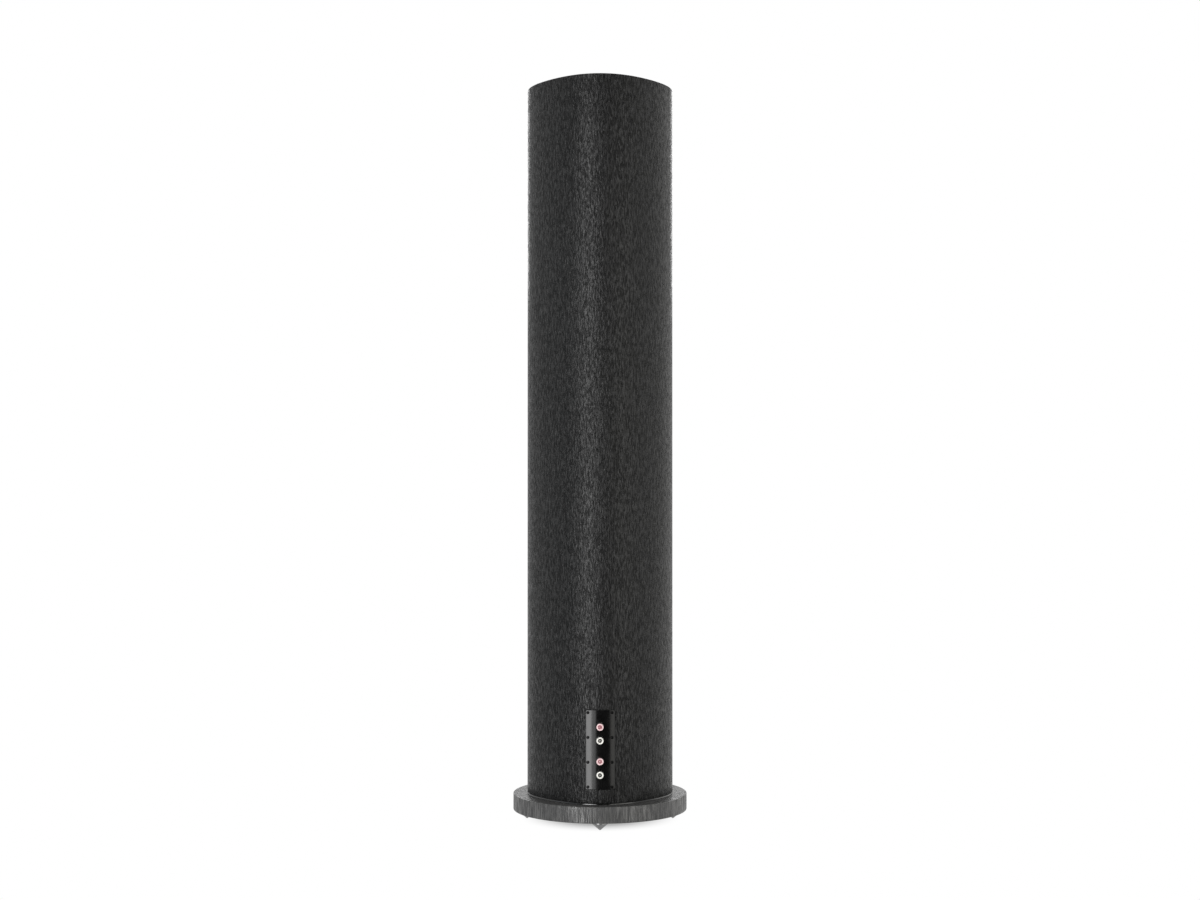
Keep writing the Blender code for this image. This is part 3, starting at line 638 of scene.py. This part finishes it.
def spike(name):
    """A turned cone with a flattened tip, a small rim and a threaded stud."""
    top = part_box(f"spike_{name}")[1].z
    spot = middle(f"spike_{name}")
    radius, stud, rim, cone, tip = 12.5 * MM, 4 * MM, 11.5 * MM, 9.8 * MM, 1.0 * MM
    pitch, groove, bevel = 1.25 * MM, 0.5 * MM, 0.6 * MM
    threads = int((top - rim - 3 * MM) / pitch)
    profile = [(0, top), (stud - bevel, top), (stud, top - bevel)]
    profile += thread(stud, top - 2 * bevel, pitch, groove, threads)
    profile += [(stud - groove, rim), (radius - 0.4 * MM, rim), (radius, rim - 0.4 * MM)]
    profile += [(radius, cone + 0.2 * MM), (radius - 0.3 * MM, cone - 0.1 * MM)]
    profile += [(tip, 0.15 * MM), (tip - 0.3 * MM, 0), (0, 0)]
    made = turned(f"spike_{name}_turned", profile, SPIKE_STEEL, (spot.x, spot.y, 0), UP, closed=False)
    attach(made, f"spike_{name}")
    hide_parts(f"spike_{name}")


# Terminals --------------------------------------


def bent_moulding():
    """A flat moulding with its outer edges rounded, bent to the cabinet's curve."""
    half_width, radius, corner, strips = 20.3 * MM, 0.7 * MM, 2.6 * MM, 40
    profile = [(0, 0)]
    for angle in quarter_turn(4):
        profile.append((radius * (1 - math.cos(angle)), PANEL_THICKNESS - radius * (1 - math.sin(angle))))
    rings = []
    for inset, depth in profile:
        outline = rounded_rectangle(
            (-half_width + inset, PANEL_LOW.z + inset),
            (half_width - inset, PANEL_HIGH.z - inset),
            corner - inset,
        )
        rings.append([(x, depth, height) for x, height in outline])
    made = bmesh.new()
    loops = add_rings(made, rings)
    skin_between(made, loops)
    made.faces.new(loops[0])
    made.faces.new(loops[-1])
    for i in range(1, strips):
        x = -half_width + 2 * half_width * i / strips
        geometry = made.verts[:] + made.edges[:] + made.faces[:]
        bmesh.ops.bisect_plane(made, geom=geometry, plane_co=(x, 0, 0), plane_no=(1, 0, 0))
    for vert in made.verts:
        place, normal = surface_at(vert.co.x, vert.co.z, TOUCHING_GAP)
        vert.co = place + normal * vert.co.y
    return from_bmesh("terminal_panel_moulding", made, PANEL_GLOSS)


def terminal_panel():
    """The bent moulding, with its holes for the posts and the screws."""
    post_hole, screw_hole, reach = 3.4 * MM, 1.6 * MM, 8 * MM
    panel = bent_moulding()
    cutters = []
    for name in POSTS:
        place = (0, PANEL_HIGH.y, middle(f"post_stud_{name}").z)
        cutters.append(rod(f"hole_{name}", post_hole, -WALL, WALL, place, BACK))
    for number in range(1, SCREWS + 1):
        place, normal = screw_place(number)
        cutters.append(rod(f"screw_hole_{number}", screw_hole, -reach, reach, place, normal, 24))
    cut_away(panel, cutters)
    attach(panel, "cabinet")
    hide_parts("terminal_panel")


def screw_place(number):
    """Where a panel screw's axis meets the cabinet's surface, and the axis."""
    low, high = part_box(f"panel_screw_{number}")
    from_middle = 16.5 * MM if low.x > 0 else -16.5 * MM
    return surface_at(from_middle, (low.z + high.z) / 2)


def panel_screw(number):
    """A small domed head with a cross recess."""
    place, normal = screw_place(number)
    seat = PANEL_THICKNESS + 2 * TOUCHING_GAP
    head, shaft, rise, length, point = 2.2 * MM, 1.3 * MM, 1.0 * MM, 9 * MM, 1 * MM
    dome = [(head * math.cos(a), seat + rise * (0.3 + 0.7 * math.sin(a))) for a in quarter_turn(6)]
    dome[-1] = (0, seat + rise)
    profile = dome[::-1] + [(head, seat), (shaft, seat)]
    profile += [(shaft, seat - length), (0, seat - length - point)]
    made = turned(f"panel_screw_{number}_head", profile, SCREW_STEEL, place, normal, 40, closed=False)
    half_slot = Vector((1.3 * MM, 0.22 * MM, 0.5 * MM))
    stopped_at = 37 * number  # degrees, so that the screws don't line up
    cutters = []
    for turn in (0, 90):
        cutter = block(f"slot_{number}_{turn}", -half_slot, half_slot)
        spin = Matrix.Rotation(math.radians(turn + stopped_at), 4, "Z")
        aim = normal.to_track_quat("Z", "Y").to_matrix().to_4x4()
        top = Matrix.Translation(place + normal * (seat + rise))
        cutter.data.transform(top @ aim @ spin)
        cutters.append(cutter)
    cut_away(made, cutters)
    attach(made, "cabinet")
    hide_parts(f"panel_screw_{number}")


def block(name, low, high):
    rings = []
    for height in (low.z, high.z):
        rings.append([(low.x, low.y, height), (high.x, low.y, height),
                      (high.x, high.y, height), (low.x, high.y, height)])
    return lofted(name, rings, CUTTER_FINISH)


def post(name):
    """One binding post: threaded stud and coloured collar, clamp washer, cap and socket plug."""
    red = "red" in name
    low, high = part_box(f"post_stud_{name}")
    place = Vector((0, 0, (low.z + high.z) / 2))
    stud(name, place, low.y, high.y)
    collar(name, place, red)
    washer(name, place)
    cap(name, place, red)
    plug(name, place, red)


def stud(name, place, start, end):
    """A threaded stud with a socket in its outer end."""
    shaft, socket, depth, bevel = 3.0 * MM, 2.0 * MM, 10 * MM, 0.4 * MM
    pitch, groove = 1.0 * MM, 0.35 * MM
    threads = int((end - start - 4 * MM) / pitch)
    profile = [(0, end - depth), (socket, end - depth), (socket, end - 0.3 * MM)]
    profile += [(socket + 0.3 * MM, end), (shaft - bevel, end)]
    profile += thread(shaft, end - 2 * bevel, pitch, groove, threads)
    profile += [(shaft - groove, start), (0, start)]
    made = turned(f"post_stud_{name}_thread", profile, NICKEL, place, BACK, 48, closed=False)
    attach(made, "cabinet")
    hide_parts(f"post_stud_{name}")


def collar(name, place, red):
    """The insulating collar between the panel and the washer."""
    seat = PANEL_HIGH.y + TOUCHING_GAP
    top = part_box(f"post_washer_{name}")[0].y - TOUCHING_GAP
    outer, inner, bevel = 5.0 * MM, 3.1 * MM, 0.5 * MM
    profile = [(inner, top), (outer - bevel, top), (outer, top - bevel), (outer, seat), (inner, seat)]
    finish = SLEEVE_RED if red else SLEEVE_BLACK
    made = turned(f"post_collar_{name}", profile, finish, place, BACK, 64)
    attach(made, "cabinet")


def washer(name, place):
    """The washer that clamps a bare wire."""
    low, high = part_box(f"post_washer_{name}")
    outer, inner, edge = 5.2 * MM, 3.3 * MM, 0.2 * MM
    profile = [(inner, high.y), (outer - edge, high.y), (outer, high.y - edge)]
    profile += [(outer, low.y + edge), (outer - edge, low.y), (inner, low.y)]
    made = turned(f"post_washer_{name}_ring", profile, NICKEL, place, BACK, 64)
    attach(made, f"washer_{name}")
    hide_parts(f"post_washer_{name}")


def cap(name, place, red):
    """The screw-on cap: a ribbed black sleeve round a bush with an end ring painted bright: its near-white
    colour, pink on the red posts, is painted sheen.
    """
    low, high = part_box(f"post_cap_{name}")
    bore, lip_bore, lip = 3.3 * MM, 2.95 * MM, 1.2 * MM
    ring, outer, clearance = 4.95 * MM, 5.45 * MM, 0.03 * MM
    inner_bevel, outer_bevel = 0.25 * MM, 0.4 * MM
    start, end = low.y + 0.2 * MM, high.y
    bush = [(lip_bore, end - inner_bevel), (lip_bore + inner_bevel, end)]
    bush += [(ring - outer_bevel, end), (ring, end - outer_bevel)]
    bush += [(ring, start), (bore, start), (bore, end - lip), (lip_bore, end - lip)]
    # The end ring's pale colour is painted sheen, not the ring's own colour.
    finish = RING_PINK_PAINTED_SHEEN if red else RING_PALE_PAINTED_SHEEN
    made = turned(f"post_cap_{name}_bush", bush, finish, place, BACK)
    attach(made, f"cap_{name}")
    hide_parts(f"post_cap_{name}")
    sleeve = ribbed_sleeve(f"post_cap_{name}_sleeve", place, low.y, end - 0.5 * MM, ring + clearance, outer)
    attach(sleeve, f"cap_{name}")


def ribbed_sleeve(name, place, start, end, inner, outer):
    """A tube with rounded ribs along it for the fingers."""
    ribs, depth, bevel, band = 24, 0.25 * MM, 0.15 * MM, 0.2 * MM
    count = ribs * 8
    angles = [2 * math.pi * i / count for i in range(count)]

    def ring(along, shrink):
        points = []
        for angle in angles:
            radius = outer - shrink - depth * abs(math.sin(ribs * angle / 2)) ** 0.7
            points.append((radius * math.cos(angle), along, radius * math.sin(angle)))
        return points

    def hole(along):
        return [(inner * math.cos(a), along, inner * math.sin(a)) for a in angles]

    rings = [hole(end), ring(end, bevel), ring(end - band, 0)]
    rings += [ring(start + band, 0), ring(start, bevel), hole(start)]
    made = lofted(name, rings, SLEEVE_BLACK, closed_loop=True)
    made.data.transform(Matrix.Translation(place))
    return smooth(made, 40)


def plug(name, place, red):
    """The small plug that closes the post's socket, with a bright pip in its middle."""
    low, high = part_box(f"post_plug_{name}")
    head, pin, thickness, bevel = 2.75 * MM, 1.7 * MM, 0.8 * MM, 0.2 * MM
    face = high.y - 0.4 * MM
    dish_radius, dish = 1.3 * MM, face - 0.15 * MM
    profile = [(0, dish), (dish_radius - bevel, dish), (dish_radius, face)]
    profile += [(head - bevel, face), (head, face - bevel)]
    profile += [(head, face - thickness), (pin, face - thickness), (pin, low.y + 0.6 * MM)]
    profile += [(pin - 0.5 * MM, low.y), (0, low.y)]
    finish = PLUG_RED if red else PLUG_BLACK
    made = turned(f"post_plug_{name}_moulding", profile, finish, place, BACK, 48, closed=False)
    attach(made, f"plug_{name}")
    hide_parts(f"post_plug_{name}")
    round_edge, foot = 0.3 * MM, face - 0.14 * MM
    pip = [(0, high.y)] + arc((0.5 * MM, high.y - round_edge), round_edge, 90, 0, 4)
    pip += [(0.8 * MM, foot), (0, foot)]
    dot = turned(f"post_plug_{name}_pip", pip, NICKEL, place, BACK, 32, closed=False)
    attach(dot, f"plug_{name}")


# Front ------------------------------------------


def front_place(node):
    """The point on the baffle's face in front of a driver."""
    return Vector((0, BAFFLE_LOW.y - TOUCHING_GAP, middle(node).z))


def cone_driver(name, cone_radius, roll, rim_radius, coil, depth, screws):
    """The visible front of a cone driver: basket rim with its screws, rubber roll, cone and dust cap."""
    place = front_place(f"{name}_basket")
    rim, bevel, ledge, ledge_rise = 4 * MM, 0.8 * MM, 3 * MM, 0.6 * MM
    edge = rim - 1 * MM
    seat = cone_radius + 2 * roll + 0.9 * MM
    profile = [(seat, rim - bevel / 2), (seat + bevel / 2, rim), (rim_radius - bevel, rim)]
    profile += [(rim_radius, rim - bevel), (rim_radius, 0)]
    profile += [(seat - ledge, 0), (seat - ledge, ledge_rise), (seat, ledge_rise)]
    ring = turned(f"{name}_rim", profile, BLACK_PLASTIC, place, FRONT, 128)
    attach(ring, "cabinet")
    rubber_roll(name, place, cone_radius, roll, edge)
    cone(name, place, cone_radius, coil, edge, depth)
    screw_ring(name, place, (seat + rim_radius) / 2, rim, screws)


def rubber_roll(name, place, cone_radius, roll, edge):
    """The half-round surround between the cone and the rim."""
    wall, flatness, steps = 0.7 * MM, 0.8, 16
    centre = cone_radius + roll + TOUCHING_GAP
    turns = [math.pi * i / steps for i in range(steps + 1)]

    def side(radius, base):
        return [(centre - radius * math.cos(a), base + flatness * radius * math.sin(a)) for a in turns]

    profile = side(roll, edge) + side(roll - wall, edge - wall)[::-1]
    made = turned(f"{name}_roll", profile, RUBBER, place, FRONT, 128)
    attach(made, "cabinet")
    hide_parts(f"{name}_surround")


def cone(name, place, radius, coil, edge, depth):
    """A curved cone with two pressed ribs, and a dust cap over the voice coil."""
    steps, rib_steps, rib_height, curve = 20, (5, 6, 11, 12), 0.35 * MM, 1.25
    skin, former, cap_rise = 0.8 * MM, 0.7 * MM, 9 * MM
    rim, neck, apex = radius - TOUCHING_GAP, coil + 3 * MM, edge - depth
    front = []
    for i in range(steps + 1):
        share = i / steps
        fall = depth * (1 - (1 - share) ** curve)
        rib = rib_height if i in rib_steps else 0
        front.append((rim - (rim - neck) * share, edge - fall + rib))
    dust_cap = [(neck * math.sin(a) * 0.98, apex + cap_rise * math.cos(a)) for a in quarter_turn(8)]
    coil_start = apex - 2 * MM
    coil_end = place.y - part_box(f"{name}_cone")[1].y
    back = [(out, along - skin) for out, along in front]
    back += [(coil + former, coil_start), (coil + former, coil_end)]
    back += [(coil - former, coil_end), (coil - former, coil_start), (0, apex + 4 * MM)]
    profile = dust_cap + front[::-1] + back
    made = turned(f"{name}_diaphragm", profile, CONE_PAPER, place, FRONT, 128, closed=False)
    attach(made, name)
    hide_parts(f"{name}_cone")


def screw_ring(name, place, radius, height, count):
    """Socket-head screws round a driver's rim, none of them at its side."""
    for i in range(count):
        angle = 2 * math.pi * (i + 0.5) / count
        offset = Vector((radius * math.cos(angle), -height, radius * math.sin(angle)))
        hex_screw(f"{name}_screw_{i + 1}", place + offset)


def hex_screw(name, place):
    head, socket, rise, bevel = 2.6 * MM, 1.3 * MM, 0.9 * MM, 0.3 * MM
    seat, floor_of_socket = 0.02 * MM, 0.25 * MM
    profile = [(socket, rise), (head - bevel, rise), (head, rise - bevel), (head, seat)]
    profile += [(0, seat), (0, floor_of_socket), (socket, floor_of_socket)]
    made = turned(name, profile, SCREW_STEEL, place, FRONT, 24, closed=False)
    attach(made, "cabinet")


def tweeter():
    """Faceplate with a shallow horn, fabric dome and its flat surround."""
    place = front_place("tweeter_faceplate")
    thickness, throat, screw_circle = 4 * MM, 16.5 * MM, 45 * MM
    tweeter_faceplate(place, thickness, throat)
    tweeter_dome(place, throat)
    screw_ring("tweeter", place, screw_circle, thickness, 4)


def tweeter_faceplate(place, thickness, throat):
    """A plate that flares out from the dome in a curve."""
    radius, neck, back, bevel, steps = 52 * MM, 38 * MM, -6 * MM, 0.8 * MM, 8
    flare, start, rise, curve = 12 * MM, -1 * MM, 5 * MM, 2.2
    shares = [i / steps for i in range(steps + 1)]
    horn = [(throat + flare * share, start + rise * share ** curve) for share in shares]
    profile = [(throat, back)] + horn
    profile += [(radius - bevel, thickness), (radius, thickness - bevel), (radius, 0)]
    profile += [(neck, 0), (neck, back)]
    plate = turned("tweeter_horn", profile, BLACK_PLASTIC, place, FRONT, 128)
    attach(plate, "cabinet")
    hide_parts("tweeter_faceplate")


def tweeter_dome(place, throat):
    """The dome on its voice coil, and the half-round surround that holds it."""
    low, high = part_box("tweeter_dome")
    radius, rise, skin, ledge = 12.5 * MM, 6 * MM, 0.5 * MM, 1 * MM
    foot = place.y - low.y - rise
    coil_end = place.y - high.y
    arch = quarter_turn(12)
    thin = radius - skin
    outer = [(radius * math.sin(a), foot + rise * math.cos(a)) for a in arch]
    inner = [(thin * math.sin(a), foot - skin + rise * math.cos(a)) for a in arch]
    profile = outer + [(radius, coil_end), (thin, coil_end)] + inner[::-1]
    made = turned("tweeter_dome_silk", profile, SILK, place, FRONT, closed=False)
    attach(made, "tweeter")
    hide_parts("tweeter_dome")
    roll = arc((14.6 * MM, foot - 0.3 * MM), 1.6 * MM, 180, 0, 8)
    roll += [(throat - 0.2 * MM, foot - ledge), (radius + 0.4 * MM, foot - ledge)]
    ring = turned("tweeter_surround_silk", roll, SILK, place, FRONT)
    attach(ring, "cabinet")


def port():
    """The bass port with a flared mouth."""
    place = front_place("port_tube")
    back = place.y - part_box("port_tube")[1].y
    bore, outer, flange, lip, bevel, flare = 25 * MM, 28 * MM, 37 * MM, 3 * MM, 1 * MM, 6 * MM
    profile = [(bore, back)] + arc((bore + flare, lip - flare), flare, 180, 90, 10)
    profile += [(flange - bevel, lip), (flange, lip - bevel), (flange, 0), (outer, 0), (outer, back)]
    made = turned("port_tube_flared", profile, BLACK_PLASTIC, place, FRONT, 128)
    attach(made, "cabinet")
    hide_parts("port_tube")


def grille_cloth():
    """Cloth stretched over the front of the grille frame and round its edges."""
    low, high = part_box("grille_frame")
    thickness, corner, edge = 0.5 * MM, 6 * MM, 2.5 * MM
    back = BAFFLE_LOW.y - 0.6 * MM
    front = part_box("grille_cloth")[0].y

    def ring(inset, depth):
        outline = rounded_rectangle(
            (low.x - thickness + inset, low.z - thickness + inset),
            (high.x + thickness - inset, high.z + thickness - inset),
            max(corner - inset / 2, 1 * MM),
        )
        return [(x, depth, height) for x, height in outline]

    def side(inset):
        """Rings from the cloth's back edge, round the frame's edge and on to the front."""
        rings = [ring(inset, back)]
        for turn in quarter_turn(6):
            sunk = front + inset + edge * (1 - math.sin(turn))
            rings.append(ring(inset + edge * (1 - math.cos(turn)), sunk))
        return rings

    made = bmesh.new()
    outside = add_rings(made, side(0))
    inside = add_rings(made, side(thickness * 0.8))
    for loops in (outside, inside):
        skin_between(made, loops)
        made.faces.new(loops[-1])
    skin_between(made, (outside[0], inside[0]))
    cloth = smooth(from_bmesh("grille_cloth_stretched", made, GRILLE_CLOTH), 60)
    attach(cloth, "grille")
    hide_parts("grille_cloth")


# Inside -----------------------------------------


def wadding():
    """The polyester pad on the back wall between the braces: a curved block with a lumpy face."""
    across = up = 48
    made = bmesh.new()
    sheets = pad_sheets(made, across, up)
    for rows in sheets:
        for lower, upper in zip(rows, rows[1:]):
            for i in range(across):
                made.faces.new((lower[i], lower[i + 1], upper[i + 1], upper[i]))
    rim = [(0, i) for i in range(across)] + [(j, across) for j in range(up)]
    rim += [(up, across - i) for i in range(across)] + [(up - j, 0) for j in range(up)]
    skin_between(made, [[rows[j][i] for j, i in rim] for rows in sheets])
    pad = smooth(from_bmesh("wadding_pad", made, WADDING), 60)
    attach(pad, "cabinet")
    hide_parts("damping_pad")


def pad_sheets(made, across, up):
    """Rows of vertices for the pad's flat face against the wall, and for its lumpy face."""
    low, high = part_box("damping_pad")
    spread, thickness, margin, lump, rim_steps = math.radians(48), 20 * MM, 1 * MM, 1 * MM, 6
    draw = random.Random(7)
    waves = [(draw.uniform(60, 160), draw.uniform(60, 160), draw.uniform(0, 6)) for _ in range(6)]
    flat, lumpy = [], []
    for rows in (flat, lumpy):
        for j in range(up + 1):
            height = low.z + margin + (high.z - low.z - 2 * margin) * j / up
            row = []
            for i in range(across + 1):
                angle = math.pi / 2 - spread + 2 * spread * i / across
                depth = WALL + 0.5 * MM
                if rows is lumpy:
                    from_rim = min(i, across - i, j, up - j) / rim_steps
                    swell = min(1.0, from_rim) ** 0.5
                    lumps = sum(math.sin(a * angle * 0.1 + b * height + c) for a, b, c in waves) / 6
                    depth += thickness * (0.55 + 0.35 * swell) + lump * lumps * swell
                point = plan_point(CABINET_HALF_WIDTH, angle, -depth)
                row.append(made.verts.new((point.x, point.y, height)))
            rows.append(row)
    return flat, lumpy


def carried_over():
    """Better materials for the CAD nodes whose shape stays."""
    finishes = {
        "front_baffle": BAFFLE_PAINT,
        "brace_upper": BOARD,
        "brace_lower": BOARD,
        "chamber_divider": BOARD,
        "grille_frame": BLACK_PLASTIC,
        "crossover_board": CIRCUIT,
        "crossover_coil": COPPER,
        "crossover_capacitor": CAPACITOR,
        "tweeter_magnet": FERRITE,
    }
    for driver in ("midrange", "woofer_upper", "woofer_lower"):
        finishes[f"{driver}_basket"] = BLACK_PLASTIC
        finishes[f"{driver}_magnet"] = FERRITE
    for node, finish in finishes.items():
        mesh = frame["nodes"][node].data
        mesh.materials.clear()
        mesh.materials.append(finish)


# Stage ------------------------------------------


def camera():
    """Square to the cabinet's back, at a little under half its height."""
    distance, height, tilt = 2.4645, 0.4527, 90.41
    data = bpy.data.cameras.new("camera")
    data.lens = 50
    data.sensor_width = 36
    data.shift_y = 0.040
    obj = bpy.data.objects.new("camera", data)
    bpy.context.scene.collection.objects.link(obj)
    obj.location = (0, distance, height)
    obj.rotation_euler = (math.radians(tilt), 0, math.radians(180))
    bpy.context.scene.camera = obj


def softbox(name, azimuth, width, reach, radiance, color=grey(1), distance=3.0):
    """An upright light at this angle from +Y towards +X, as wide as this many degrees round.

    Its reach is the heights of its lower and upper edges.
    """
    low, high = reach
    data = bpy.data.lights.new(name, "AREA")
    data.shape = "RECTANGLE"
    data.size = 2 * distance * math.tan(math.radians(width / 2))
    data.size_y = high - low
    data.energy = radiance * math.pi * data.size * data.size_y
    data.color = color
    obj = bpy.data.objects.new(name, data)
    bpy.context.scene.collection.objects.link(obj)
    angle = math.radians(azimuth)
    obj.location = (distance * math.sin(angle), distance * math.cos(angle), (low + high) / 2)
    obj.rotation_euler = (math.radians(90), 0, math.radians(180 - azimuth))


def lights():
    """A graded key on the left, a broad dim fill on the right, and a high light beyond.

    The lights reach below the floor, so that glossy faces mirror them down to their lower edges.
    """
    key_reach, side_reach, high_reach = (-1.2, 2.6), (-1.0, 2.4), (1.2, 3.2)
    cool, warm = (0.80, 0.90, 1.0), (1.0, 0.985, 0.94)
    softbox("key_outer", 33, 10, key_reach, 4.9)
    softbox("key_middle", 23, 10, key_reach, 6.0)
    softbox("key_inner", 13.5, 9, key_reach, 2.1)
    softbox("wing", 66, 50, side_reach, 0.18, cool)
    softbox("fill", -47, 50, side_reach, 1.20, warm)
    softbox("edge", -122, 44, side_reach, 0.4, warm)
    softbox("beyond", 180, 44, high_reach, 2.4, distance=3.2)


def world():
    """White to look at, and softly graded as a light: dark behind the camera, pale elsewhere."""
    made = bpy.data.worlds.new("studio")
    bpy.context.scene.world = made
    made.use_nodes = True
    nodes, links = made.node_tree.nodes, made.node_tree.links
    nodes.clear()
    coords = nodes.new("ShaderNodeTexCoord")
    split = nodes.new("ShaderNodeSeparateXYZ")
    links.new(coords.outputs["Generated"], split.inputs[0])
    pale, dark = 0.82, 0.04
    grade = map_range(nodes, -0.25, 0.75, pale, dark)
    links.new(split.outputs["Y"], grade.inputs[0])
    light = nodes.new("ShaderNodeBackground")
    links.new(grade.outputs[0], light.inputs["Strength"])
    seen = nodes.new("ShaderNodeBackground")
    seen.inputs["Color"].default_value = (1, 1, 1, 1)
    path = nodes.new("ShaderNodeLightPath")
    blend = nodes.new("ShaderNodeMixShader")
    links.new(path.outputs["Is Camera Ray"], blend.inputs[0])
    links.new(light.outputs[0], blend.inputs[1])
    links.new(seen.outputs[0], blend.inputs[2])
    output = nodes.new("ShaderNodeOutputWorld")
    links.new(blend.outputs[0], output.inputs["Surface"])


def floor():
    """A pale floor that fades into the white round it."""
    made = bpy.data.materials.new("floor")
    made.use_nodes = True
    nodes, links = made.node_tree.nodes, made.node_tree.links
    shader = nodes["Principled BSDF"]
    shader.inputs["Base Color"].default_value = (0.93, 0.93, 0.93, 1)
    shader.inputs["Roughness"].default_value = 0.7
    coords = nodes.new("ShaderNodeTexCoord")
    length = nodes.new("ShaderNodeVectorMath")
    length.operation = "LENGTH"
    links.new(coords.outputs["Object"], length.inputs[0])
    fade_start, fade_end = 0.02, 0.122
    fade = map_range(nodes, fade_start, fade_end, 0, 1)
    fade.interpolation_type = "SMOOTHSTEP"
    links.new(length.outputs["Value"], fade.inputs[0])
    white = nodes.new("ShaderNodeEmission")
    blend = nodes.new("ShaderNodeMixShader")
    links.new(fade.outputs[0], blend.inputs[0])
    links.new(shader.outputs[0], blend.inputs[1])
    links.new(white.outputs[0], blend.inputs[2])
    links.new(blend.outputs[0], nodes["Material Output"].inputs["Surface"])
    disc = bmesh.new()
    bmesh.ops.create_circle(disc, cap_ends=True, segments=64, radius=12)
    obj = from_bmesh("floor", disc, made)
    obj.location.z = -0.2 * MM
    obj.visible_glossy = False


camera()
lights()
world()
floor()
bpy.context.scene.view_settings.view_transform = "Standard"

cabinet_skin()
base_plate()
plinth()
for spike_name in SPIKES:
    spike(spike_name)
terminal_panel()
for screw_number in range(1, SCREWS + 1):
    panel_screw(screw_number)
for post_name in POSTS:
    post(post_name)
cone_driver(
    "midrange", cone_radius=44 * MM, roll=4.5 * MM, rim_radius=63 * MM, coil=12.5 * MM,
    depth=20 * MM, screws=6,
)
for woofer in ("woofer_upper", "woofer_lower"):
    cone_driver(
        woofer, cone_radius=49 * MM, roll=5 * MM, rim_radius=69 * MM, coil=13 * MM,
        depth=24 * MM, screws=8,
    )
tweeter()
port()
grille_cloth()
wadding()
carried_over()
